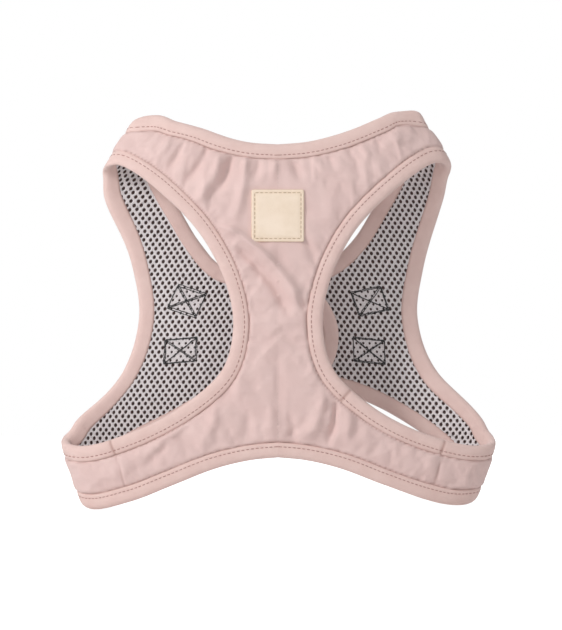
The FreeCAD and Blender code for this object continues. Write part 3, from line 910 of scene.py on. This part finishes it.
def build_cloth():
    """Outer cloth of both halves, with thickness, its grid split up the chest's middle."""
    grids, fields = quilt_field()
    pieces = {}
    for side, name in SIDES.items():
        p, z = (doubled(values) for values in grids[side])
        quilt = doubled(fields[side])
        height, tone, pressed = relief(side, p, z)
        settled = quilt * np.where(p > 0, BACK_QUILT, 1.0) * (1 - pressed) * tautness(p)
        flat = np.stack([p.ravel(), z.ravel()], axis=1)
        rows, columns = p.shape
        kept = PATTERNS[side].covers(flat, EDGE_WIDTH - 3.4)
        first = (np.arange(len(flat)) % columns == 0)
        belly, neck = BELLY_FRONT[-1][1], NECK_FRONT[0][1]
        kept |= first & (flat[:, 1] > belly + EDGE_WIDTH - 3.4) & (flat[:, 1] < neck - EDGE_WIDTH + 3.4)
        faces = [f for f in grid_faces(rows, columns) if all(kept[list(f)])]
        if side == -1:
            faces = [f[::-1] for f in faces]
        lift = np.maximum(height + settled, CLOTH_LOW)
        points = wrap(flat[:, 0], flat[:, 1], lift.ravel(), side)
        points, faces, flat, tone = compact(points, faces, flat, tone.ravel())
        piece = new_mesh(name + "_outer_cloth", points, faces, flat * (side, 1), tone, SHELL_CLOTH)
        pieces[side] = piece
    join_normals(pieces[-1], pieces[1])
    return pieces


def join_normals(left, right):
    """Where two pieces meet up the chest's middle, give both the mean of their normals."""
    meshes = [left.data, right.data]
    normals = [np.array([v.normal for v in mesh.vertices]) for mesh in meshes]
    shared = {}
    for which, mesh in enumerate(meshes):
        for index, vertex in enumerate(mesh.vertices):
            if abs(vertex.co.x) < 1e-5:
                key = (round(vertex.co.y * 2e4), round(vertex.co.z * 2e4))
                shared.setdefault(key, []).append((which, index))
    for members in shared.values():
        mean = sum(normals[which][index] for which, index in members)
        if len(members) == 1:
            mean[0] = 0
        for which, index in members:
            normals[which][index] = mean / np.linalg.norm(mean)
    for mesh, values in zip(meshes, normals):
        mesh.normals_split_custom_set_from_vertices(values.tolist())


# ---------- binding tape ----------

# where a leg tape's ends meet on the chest: x and z
TAPE_JOINS = {1: [(98.8, 38.4), (42.6, 70.4)], -1: [(102.6, 43.9)]}

# cross-section of the folded tape: distance in from the bound edge, height over the outer cloth
TAPE_PROFILE = [
    (9.9, -1.9), (9.75, -1.1), (9.35, -0.45), (8.7, -0.08), (7.9, 0.1), (7.2, 0.06), (6.8, 0.06), (6.0, 0.22),
    (4.6, 0.38), (3.0, 0.3), (1.6, -0.05), (0.6, -0.8), (0.05, -1.9), (0.05, -3.1), (0.7, -4.3), (2.0, -5.0),
    (4.2, -5.35), (6.4, -5.3), (7.6, -5.35), (8.6, -5.25), (9.2, -4.95), (9.5, -4.5), (9.55, -3.9),
]


def build_tape(name, edge, seed, joins=()):
    """Sweep the folded tape along a bound edge, gathered a little by its stitches."""
    side, curve, run = edge.side, edge.curve, edge.run
    turn = np.gradient(np.unwrap(np.arctan2(edge.inward[:, 1], edge.inward[:, 0]))) / BINDING_STEP
    tight = np.clip(np.abs(turn) * 22, 0.15, 1.0)
    p, z, lift = [], [], []
    across = np.concatenate([[0], np.cumsum(np.hypot(*np.diff(np.array(TAPE_PROFILE), axis=0).T))])
    for inset, height in TAPE_PROFILE:
        p.append(curve[:, 0] + edge.inward[:, 0] * inset)
        z.append(curve[:, 1] + edge.inward[:, 1] * inset)
        crown = math.sin(math.pi * min(1.0, inset / EDGE_WIDTH))
        ripple = waves(run + 1.1 * inset, seed, 6.0) * 0.42 * tight + 0.10 * waves(run, seed + 2, 3.4)
        near_stitches = math.exp(-((inset - STITCH_INSET) / 0.9) ** 2)
        stitch = 0.12 * np.cos(2 * math.pi * run / STITCH_PITCH) * near_stitches
        outward = 1 if height > -2.5 else -1
        lift.append(height + outward * (ripple * crown + stitch))
    p, z, lift = (np.array(values).T for values in (p, z, lift))
    crossing = np.zeros(len(curve))
    for x, height in joins:
        spot = np.array(to_pattern([(x, height)], False, side))
        at = run[np.linalg.norm(curve - spot, axis=1).argmin()]
        crossing = np.maximum(crossing, np.exp(-((run - at) / 0.6) ** 2))
    lift = np.where(lift > -2.5, lift - 0.7 * crossing[:, None], lift)
    points = wrap(p.ravel(), z.ravel(), lift.ravel(), side)
    if not edge.closed:
        points = points.reshape(len(curve), -1, 3)
        points[[0, -1], :, 0] = 0
        points = points.reshape(-1, 3)
    faces = grid_faces(len(curve), len(TAPE_PROFILE), closed_rows=edge.closed)
    pattern = np.stack(np.broadcast_arrays(run[:, None], across[None]), axis=-1).reshape(-1, 2)
    inset = np.broadcast_to(np.array(TAPE_PROFILE)[:, 0], p.shape).ravel()
    # Painted shade: dark in the crease where the tape tucks into the seam, where the tape ends meet, and
    # along the inner lip's edge by the lining.
    tone = 0.75 * smooth(9.2, 9.9, inset) * (lift.ravel() > -2.5)
    tone = np.maximum(tone, 0.6 * np.repeat(crossing, p.shape[1]) * (lift.ravel() > -2.5))
    tone = np.maximum(tone, 0.5 * smooth(8.3, 9.2, inset) * (lift.ravel() < -2.5))
    if side == 1:
        faces = [f[::-1] for f in faces]
    return new_mesh(name, points, faces, pattern, tone, TAPE_CLOTH)


def capsule_ring(radius, sides=6):
    turn = 2 * math.pi * np.arange(sides) / sides
    return np.stack([np.cos(turn), np.sin(turn)], axis=1) * radius


def threads(name, segments, radius, mat, squash=0.7, dip=1.1):
    """Short rounded stitches: each segment is start, end and the normal it lies on."""
    profile = [(0.0, 0.25), (0.08, 0.8), (0.5, 1.0), (0.92, 0.8), (1.0, 0.25)]
    ring = capsule_ring(radius)
    points, faces = [], []
    for start, end, normal in segments:
        along = end - start
        length = np.linalg.norm(along) + 1e-9
        along = along / length
        side_way = np.cross(normal, along)
        side_way /= np.linalg.norm(side_way) + 1e-9
        up = np.cross(along, side_way)
        base = len(points)
        for place, swell in profile:
            sink = -dip * radius * (abs(place - 0.5) * 2) ** 3
            centre = start + along * (length * place) + up * sink
            for a, b in ring:
                points.append(centre + side_way * a * swell + up * b * swell * squash)
        sides = len(ring)
        for i in range(len(profile) - 1):
            for j in range(sides):
                j1 = (j + 1) % sides
                faces.append((base + i * sides + j, base + i * sides + j1,
                              base + (i + 1) * sides + j1, base + (i + 1) * sides + j))
        faces.append(tuple(base + j for j in range(sides))[::-1])
        faces.append(tuple(base + (len(profile) - 1) * sides + j for j in range(sides)))
    return new_mesh(name, points, faces, material=mat)


def stitch_row(edge, lift, inset=STITCH_INSET):
    """Stitches along a bound edge, lying on the tape."""
    segments = []
    count = int(edge.length / STITCH_PITCH)
    for k in range(count):
        ends = edge.at(np.array([k + 0.14, k + 0.86]) * edge.length / count, inset)
        low = wrap(ends[:, 0], ends[:, 1], np.full(2, lift), edge.side)
        high = wrap(ends[:, 0], ends[:, 1], np.full(2, lift + 1), edge.side)
        normal = (high - low)[0]
        segments.append((low[0], low[1], normal / np.linalg.norm(normal)))
    return segments


def build_bindings():
    pieces = {}
    for side, name in SIDES.items():
        pattern = PATTERNS[side]
        rim = build_tape(name + "_rim_tape", pattern.rim, 40 + side)
        leg = build_tape(name + "_leg_tape", pattern.leg, 50 + side, TAPE_JOINS[side])
        rows = stitch_row(pattern.rim, 0.26) + stitch_row(pattern.leg, 0.26)
        seam = threads(name + "_seam_stitches", rows, 0.27, THREAD)
        pieces[side] = (rim, leg, seam)
    join_normals(pieces[-1][0], pieces[1][0])
    return pieces


# ---------- mesh lining ----------

def on_wall(points, lift, side):
    return wrap(points[:, 0], points[:, 1], np.full(len(points), lift), side)


# rings of one hole of the net, from its rim inwards: fixed width, share of the hole's size, height
HOLE_RINGS = ((0.55, 0.9, -WALL - 0.14), (0.0, 1.1, -WALL - 0.02), (0.0, 1.0, -WALL + 0.3),
              (0.0, 1.06, -WALL + 1.1))


def build_mesh_lining(side, name):
    """Open-hole spacer mesh: a staggered net of rounded holes over an inner face whose dark colour is painted
    shade deep in the holes.
    """
    pattern = PATTERNS[side]
    pitch, row_pitch = MESH_PITCH
    low, high = pattern.outline.min(0), pattern.outline.max(0)
    heights = np.arange(low[1] - 8, high[1] + 8, 2.0)
    spans = -np.array(to_pattern([(0, z) for z in heights], False, side))[:, 0]
    reach_in = round(spans.mean() / pitch)

    def spread(points):
        """Net positions as pattern points: the columns fan so that one runs up the middle."""
        span = np.interp(points[:, 1], heights, spans)
        return np.stack([np.where(points[:, 0] < 0, points[:, 0] * span / (reach_in * pitch), points[:, 0]),
                         points[:, 1]], axis=1)

    rows = np.arange(math.floor(low[1] / row_pitch), math.ceil(high[1] / row_pitch))
    columns = np.arange(-reach_in if side == 1 else 1 - reach_in, math.ceil(high[0] / pitch) + 1)
    net = np.array([((c + 0.5 * (r % 2)) * pitch, r * row_pitch) for r in rows for c in columns])
    if side == -1:
        first = np.array([((0.5 - reach_in) * pitch, r * row_pitch) for r in rows if r % 2])
        net = np.vstack([first, net])
    centres = spread(net)
    shown = pattern.covers(centres + (0.2, 0), EDGE_WIDTH - 3.2)
    net, centres = net[shown], centres[shown]
    size = np.ones(len(centres))
    for number in range(len(BOXES)):
        owner, middle, along, across = box_frame(number)
        if owner != side:
            continue
        off = centres - middle
        a, b = np.abs(off @ along), np.abs(off @ across)
        size[(a < BOX_SIZE[0] / 2 + 0.8) & (b < BOX_SIZE[1] / 2 + 0.8)] = 0.7
    rng = np.random.default_rng(70 + side)
    jitter = rng.normal(0, 0.08, (len(centres), 2))
    half = np.array([pitch / 2, row_pitch / 2])
    border = np.array([(1, 0), (1, 1), (0, 1), (-1, 1), (-1, 0), (-1, -1), (0, -1), (1, -1)]) * half
    turn = np.arctan2(border[:, 1], border[:, 0])
    round_hole = np.stack([np.cos(turn) * MESH_HOLE[0], np.sin(turn) * MESH_HOLE[1]], axis=1)
    keys = {}
    points, lifts, faces = [], [], []
    for centre, scale, shift in zip(net, size, jitter):
        outer = []
        for corner in centre + border:
            key = (round(corner[0] * 20), round(corner[1] * 20))
            if key not in keys:
                keys[key] = len(points)
                points.append(corner)
                lifts.append(-WALL + 0.05)
            outer.append(keys[key])
        rings = [outer]
        for fixed, share, lift in HOLE_RINGS:
            rings.append(list(range(len(points), len(points) + 8)))
            points.extend(centre + shift + round_hole * (fixed + share * scale))
            lifts.extend([lift] * 8)
        for a, b in zip(rings[:-1], rings[1:]):
            faces += [(a[k], a[(k + 1) % 8], b[(k + 1) % 8], b[k]) for k in range(8)]
    if side == 1:
        faces = [f[::-1] for f in faces]
    points = np.array(points)
    past = points[:, 0] < -reach_in * pitch
    points[past, 0] = -2 * reach_in * pitch - points[past, 0]
    points = spread(points)
    placed = wrap(points[:, 0], points[:, 1], np.array(lifts), side)
    placed[past, 0] *= -1
    net = new_mesh(name + "_mesh_net", placed, faces, points, material=MESH_YARN)

    step = CLOTH_STEP
    p, z = pattern_grid(side, step)
    flat = np.stack([p.ravel(), z.ravel()], axis=1)
    kept = pattern.covers(flat, EDGE_WIDTH - 4.5)
    kept |= (np.arange(len(flat)) % p.shape[1] == 0) & (flat[:, 1] > 37) & (flat[:, 1] < 216)
    cells = [f for f in grid_faces(*p.shape) if all(kept[list(f)])]
    if side == 1:
        cells = [f[::-1] for f in cells]
    placed, cells, flat = compact(on_wall(flat, -WALL + 1.15, side), cells, flat)
    core = new_mesh(name + "_mesh_core", placed, cells, flat, material=PAINTED_HOLE_SHADE)
    return net, core


def box_paths(middle, along, across, size):
    """A sewn box with its crossed diagonals, as pattern polylines."""
    a, b = size[0] / 2, size[1] / 2
    corners = [middle + along * s * a + across * t * b for s, t in ((1, 1), (-1, 1), (-1, -1), (1, -1))]
    ring = [(corners[k], corners[(k + 1) % 4]) for k in range(4)]
    return ring + [(corners[0], corners[2]), (corners[1], corners[3])]


def build_boxes():
    """Dark box stitching that fixes the straps, where it shows on the lining."""
    made = {1: [], -1: []}
    rng = np.random.default_rng(5)
    for number in range(len(BOXES)):
        side, middle, along, across = box_frame(number)
        for _ in range(2):
            drift = rng.normal(0, 0.35, 2)
            for start, end in box_paths(middle + drift, along, across, BOX_SIZE):
                length = np.linalg.norm(end - start)
                count = int(length / 2.3)
                for k in range(count):
                    ends = np.array([start + (end - start) * (k + place) / count for place in (0.0, 1.02)])
                    ends += rng.normal(0, 0.12, (2, 2))
                    low, high = on_wall(ends, -WALL - 0.3, side), on_wall(ends, -WALL - 1.2, side)
                    normal = (high - low)[0]
                    made[side].append((low[0], low[1], normal / np.linalg.norm(normal)))
    return {side: threads(name + "_box_stitches", made[side], 0.3, DARK_THREAD, 0.9, 0.5)
            for side, name in SIDES.items()}


# ---------- label ----------


def build_label():
    """Bare leather patch with rolled edges, sewn round close to its border."""
    x0, x1, z0, z1 = LABEL
    n = 46
    inset = np.array([0.0, 0.06, 0.2, 0.5, 1.4, 2.0, 2.7])
    s = np.concatenate([inset / (x1 - x0), np.linspace(4.6, x1 - x0 - 4.6, n - 14) / (x1 - x0),
                        1 - inset[::-1] / (x1 - x0)])
    u, v = np.meshgrid(s, s)
    x, z = x0 + u * (x1 - x0), z0 + v * (z1 - z0)
    edge_x, edge_z = np.minimum(x - x0, x1 - x), np.minimum(z - z0, z1 - z)
    corner = np.maximum(0, LABEL_ROUND - edge_x) * np.maximum(0, LABEL_ROUND - edge_z)
    x = x + np.sign(x - (x0 + x1) / 2) * -0.32 * corner
    z = z + np.sign(z - (z0 + z1) / 2) * -0.32 * corner
    edge = np.minimum(edge_x, edge_z)
    rise = 1.5 * np.sqrt(1 - (1 - np.clip(edge / 0.45, 0, 1)) ** 2)
    groove = np.exp(-((edge - 2.0) / 0.55) ** 2)
    lift = 0.7 + rise - 0.28 * groove + 0.05 * blobs(x, z, 91, 18)
    points = wrap_front(x, z, lift)
    # Painted shade: darker in the stitch groove and on the rolled edge of the patch.
    tone = 0.35 * groove + 0.4 * (1 - np.clip(edge / 0.6, 0, 1))
    faces = grid_faces(*x.shape)
    patch = new_mesh("leather_patch_cover", points.reshape(-1, 3), faces, np.stack([x, z], -1).reshape(-1, 2),
                     tone.ravel(), LEATHER)
    segments = []
    corners = [(x0 + 2, z0 + 2), (x1 - 2, z0 + 2), (x1 - 2, z1 - 2), (x0 + 2, z1 - 2)]
    for k in range(4):
        start, end = np.array(corners[k]), np.array(corners[(k + 1) % 4])
        count = 10
        for i in range(count):
            ends = [start + (end - start) * (i + place) / count for place in (0.14, 0.86)]
            low = np.array([front_point(e, 2.12) for e in ends])
            segments.append((low[0], low[1], np.array((0, -1.0, 0))))
    return patch, threads("label_stitches", segments, 0.26, LABEL_THREAD)


def wrap_front(x, z, lift):
    """Chest points given by x and z."""
    w = half_width(z)
    uy = (1 - np.clip(np.abs(x) / w, 0, 1) ** SECTION_POWER) ** (1 / SECTION_POWER)
    return drape(np.stack([x, -(FRONT_DEPTH * uy + lift), z], axis=-1))


def front_point(point, lift):
    return wrap_front(np.float64(point[0]), np.float64(point[1]), lift)


# ---------- straps ----------

PLY = 1.4
WEB_HALF = 10.0
# half the outline of a webbing ply: across the strap, then through it
PLY_RING = [(-1, 0), (-0.985, 0.62), (-0.94, 0.95), (-0.5, 1), (0, 1), (0.5, 1), (0.94, 0.95), (0.985, 0.62),
            (1, 0), (0.985, -0.62), (0.94, -0.95), (0.5, -1), (0, -1), (-0.5, -1), (-0.94, -0.95),
            (-0.985, -0.62)]


def back_face(x, z, side):
    """Height of a wing's cloth over the XZ plane."""
    uy = (1 - np.clip(np.abs(x) / half_width(z), 0, 1) ** SECTION_POWER) ** (1 / SECTION_POWER)
    return BACK_DEPTH[side] * uy


def strap_path(reach, bar):
    """Run and height of the webbing's middle line: out to the bar, round it and back."""
    radius = bar / 2 + 0.3 + PLY / 2
    centre = radius + PLY / 2 + 0.1
    low = np.linspace(-STRAP_SEWN, reach, 30)
    path = [(run, centre - radius) for run in low]
    for k in range(1, 20):
        turn = -math.pi / 2 + math.pi * 1.12 * k / 20
        path.append((reach + radius * math.cos(turn), centre + radius * math.sin(turn)))
    start = path[-1]
    top = PLY * 1.5 + 0.16
    for t in np.linspace(0, 1, 12)[1:]:
        run = start[0] + (reach - radius - 5.5 - start[0]) * t
        path.append((run, top + (start[1] - top) * (1 - float(smooth(0, 1, t)))))
    path += [(run, top) for run in np.linspace(path[-1][0], -STRAP_SEWN, 24)[1:]]
    return np.array(path)


def strap_point(number, run, across, lift):
    """A point of a strap: its run towards the spine, place across it and height over the wing."""
    x0, z0, slope = BOXES[number]
    side = 1 if x0 > 0 else -1
    turn = math.radians(slope)
    along = np.array((-side * math.cos(turn), -side * math.sin(turn)))
    x = x0 + along[0] * run - along[1] * across
    z = z0 + along[1] * run + along[0] * across
    lifted = smooth(STRAP_REACH[number] - 9, STRAP_REACH[number] - 2.5, run)
    y = back_face(x, z, side) * (1 - lifted) + BACK_DEPTH[side] * lifted + lift
    return np.stack([x, y, z], axis=-1)


def build_strap(number, name, bar):
    """Webbing doubled round a bar, with its sewn box."""
    side = 1 if BOXES[number][0] > 0 else -1
    path = strap_path(STRAP_REACH[number], bar)
    tangent = np.gradient(path, axis=0)
    tangent /= np.linalg.norm(tangent, axis=1)[:, None]
    up = np.stack([-tangent[:, 1], tangent[:, 0]], axis=1)
    length = np.concatenate([[0], np.cumsum(np.linalg.norm(np.diff(path, axis=0), axis=1))])
    points, cloth_points = [], []
    for spot, normal, run in zip(path, up, length):
        for a, b in PLY_RING:
            place = spot + normal * b * PLY / 2
            points.append(strap_point(number, place[0], a * WEB_HALF, place[1]))
            cloth_points.append((run, a * WEB_HALF + (25 if b < 0 else 0)))
    faces = grid_faces(len(path), len(PLY_RING), closed_columns=True)
    count = len(PLY_RING)
    faces += [tuple(range(count))[::-1], tuple(range(len(points) - count, len(points)))]
    if side == 1:
        faces = [f[::-1] for f in faces]
    strap = new_mesh(name, points, faces, cloth_points, material=WEBBING)
    segments = []
    half = np.array(BOX_SIZE) / 2
    corners = [np.array(c) * half for c in ((1, 1), (-1, 1), (-1, -1), (1, -1))]
    lines = [(corners[k], corners[(k + 1) % 4]) for k in range(4)]
    lines += [(corners[0], corners[2]), (corners[1], corners[3])]
    for start, end in lines:
        stitches = int(np.linalg.norm(end - start) / 2.3)
        for k in range(stitches):
            ends = [start + (end - start) * (k + place) / stitches for place in (0.08, 0.9)]
            low = np.array([strap_point(number, np.float64(e[0]), np.float64(e[1]), 2 * PLY + 0.22)
                            for e in ends])
            segments.append((low[0], low[1], np.array((0, 1.0, 0))))
    return strap, threads(name + "_stitches", segments, 0.3, DARK_THREAD)


def build_pile(name, side, low, high, mat):
    """Hook or loop patch between the flaps, with a slightly ragged pile face."""
    (left, right), (bottom, top) = CLOSURE
    x, z = np.meshgrid(np.linspace(left, right, 34), np.linspace(bottom, top, 104))
    edge = np.minimum(np.minimum(x - left, right - x), np.minimum(z - bottom, top - z))
    rng = np.random.default_rng(60 + side)
    ragged = rng.uniform(0, 0.22, x.shape) * smooth(0, 0.6, edge)
    faces = grid_faces(*x.shape)
    base, pile = (high, low) if side == 1 else (low, high)
    level = base + (pile - base) * smooth(0, 0.5, edge) - np.sign(pile - base) * ragged
    y = back_face(x, z, side) + level
    points = np.stack([x, y, z], axis=-1).reshape(-1, 3)
    back = np.stack([x, back_face(x, z, side) + base, z], axis=-1).reshape(-1, 3)
    count = len(points)
    under = [tuple(i + count for i in f[::-1]) for f in faces]
    faces = faces + under if side == 1 else [f[::-1] for f in faces + under]
    return new_mesh(name, np.vstack([points, back]), faces, material=mat)


# ---------- all pieces ----------

cloth = build_cloth()
tapes = build_bindings()
boxes = build_boxes()
patch, patch_stitches = build_label()

for side, name in SIDES.items():
    net, core = build_mesh_lining(side, name)
    rim, leg, seam = tapes[side]
    soft = [cloth[side], rim, leg, seam, net, core, boxes[side]]
    for piece in soft:
        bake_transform(piece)
    wing_parts = [name + "_wing_shell", name + "_wing_padding"]
    chest_parts = ["chest_shell", "chest_padding"] if side == 1 else []
    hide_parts(*wing_parts, *chest_parts)
    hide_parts(name + "_wing_lining", *(["chest_lining"] if side == 1 else []))
    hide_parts(name + "_wing_rim_binding", *(["neck_binding", "belly_binding"] if side == 1 else []))
    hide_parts(name + "_wing_leg_binding", name + "_leg_binding_front")
for piece in (patch, patch_stitches):
    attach(piece, "chest")
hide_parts("label_patch")

STRAPS = {0: ("left_ring_strap", 3.2), 1: ("right_ring_strap", 3.2),
          2: ("left_buckle_strap", 3.0), 3: ("right_buckle_strap", 3.0)}
for number, (node, bar) in STRAPS.items():
    strap, sewing = build_strap(number, node + "_webbing", bar)
    for piece in (strap, sewing):
        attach(piece, node.split("_")[0] + "_wing")
    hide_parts(node)

hooks = build_pile("hook_pile_patch", -1, 0.1, 1.2, HOOK_PILE)
loops = build_pile("loop_pile_patch", 1, -WALL - 1.2, -WALL - 0.1, LOOP_PILE)
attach(hooks, "left_wing")
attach(loops, "right_wing")
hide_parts("hook_tape")
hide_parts("loop_tape")

CAD_FINISH = {"ring_metal": NICKEL, "buckle_plastic": PLASTIC}
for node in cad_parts.values():
    for slot_here in node.material_slots:
        for word, finish in CAD_FINISH.items():
            if slot_here.material and word in slot_here.material.name:
                slot_here.material = finish

# ---------- floor, light, camera ----------

ROOM_LIGHT = 0.44        # strength of the light from all round

scene = bpy.context.scene
scene.view_settings.view_transform = "Standard"

world = bpy.data.worlds.new("studio")
scene.world = world
world.use_nodes = True
wn, wl = world.node_tree.nodes, world.node_tree.links
soft_light = wn["Background"]
soft_light.inputs["Color"].default_value = (1, 1, 1, 1)
soft_light.inputs["Strength"].default_value = ROOM_LIGHT
backdrop = wn.new("ShaderNodeBackground")
backdrop.inputs["Color"].default_value = (1, 1, 1, 1)
backdrop.inputs["Strength"].default_value = 1.0
paths = wn.new("ShaderNodeLightPath")
seen = math_node(wn, wl, "MAXIMUM", paths.outputs["Is Camera Ray"], paths.outputs["Is Transmission Ray"])
choice = wn.new("ShaderNodeMixShader")
wl.new(seen, choice.inputs[0])
wl.new(soft_light.outputs[0], choice.inputs[1])
wl.new(backdrop.outputs[0], choice.inputs[2])
wl.new(choice.outputs[0], wn["World Output"].inputs["Surface"])


def lamp(name, place, height, size, power):
    """A round area lamp that looks at a point of the given height above the origin."""
    data = bpy.data.lights.new(name, "AREA")
    data.shape = "DISK"
    data.size = size
    data.energy = power
    lamp_object = bpy.data.objects.new(name, data)
    bpy.context.collection.objects.link(lamp_object)
    lamp_object.location = place
    lamp_object.rotation_euler = (Vector((0, 0, height)) - Vector(place)).to_track_quat("-Z", "Y").to_euler()


lamp("key", (-1.2, -1.0, 0.95), 0.12, 0.5, 17.2)
lamp("fill", (0.6, -1.3, 1.2), 0.1, 0.9, 3.0)
lamp("back", (0.5, 1.5, 1.0), 0.12, 0.8, 7.0)

floor_mesh = bpy.data.meshes.new("floor")
floor_mesh.from_pydata([(-1.5, -1.2, 0), (1.5, -1.2, 0), (1.5, 1.2, 0), (-1.5, 1.2, 0)], [], [(0, 1, 2, 3)])
floor = bpy.data.objects.new("floor", floor_mesh)
bpy.context.collection.objects.link(floor)
floor.location = (0, 0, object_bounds()[0][2] - 0.0006)
floor_mat, fn, fl, floor_shader = material("pale_floor", 0.9)
floor_shader.inputs["Base Color"].default_value = (0.93, 0.93, 0.93, 1)
glow = fn.new("ShaderNodeEmission")
glow.inputs["Color"].default_value = (1, 1, 1, 1)
floor_paths = fn.new("ShaderNodeLightPath")
fl.new(math_node(fn, fl, "MULTIPLY", floor_paths.outputs["Is Camera Ray"], 0.6), glow.inputs["Strength"])
both = fn.new("ShaderNodeAddShader")
fl.new(floor_shader.outputs[0], both.inputs[0])
fl.new(glow.outputs[0], both.inputs[1])
fl.new(both.outputs[0], fn["Material Output"].inputs["Surface"])
floor_mesh.materials.append(floor_mat)

camera_data = bpy.data.cameras.new("camera")
camera_data.lens = 187.5
camera_data.sensor_width = 36
camera = bpy.data.objects.new("camera", camera_data)
bpy.context.collection.objects.link(camera)
camera.location = (0.0018, -2.0, 0.1177)
camera.rotation_euler = (math.pi / 2, 0, 0)
scene.camera = camera
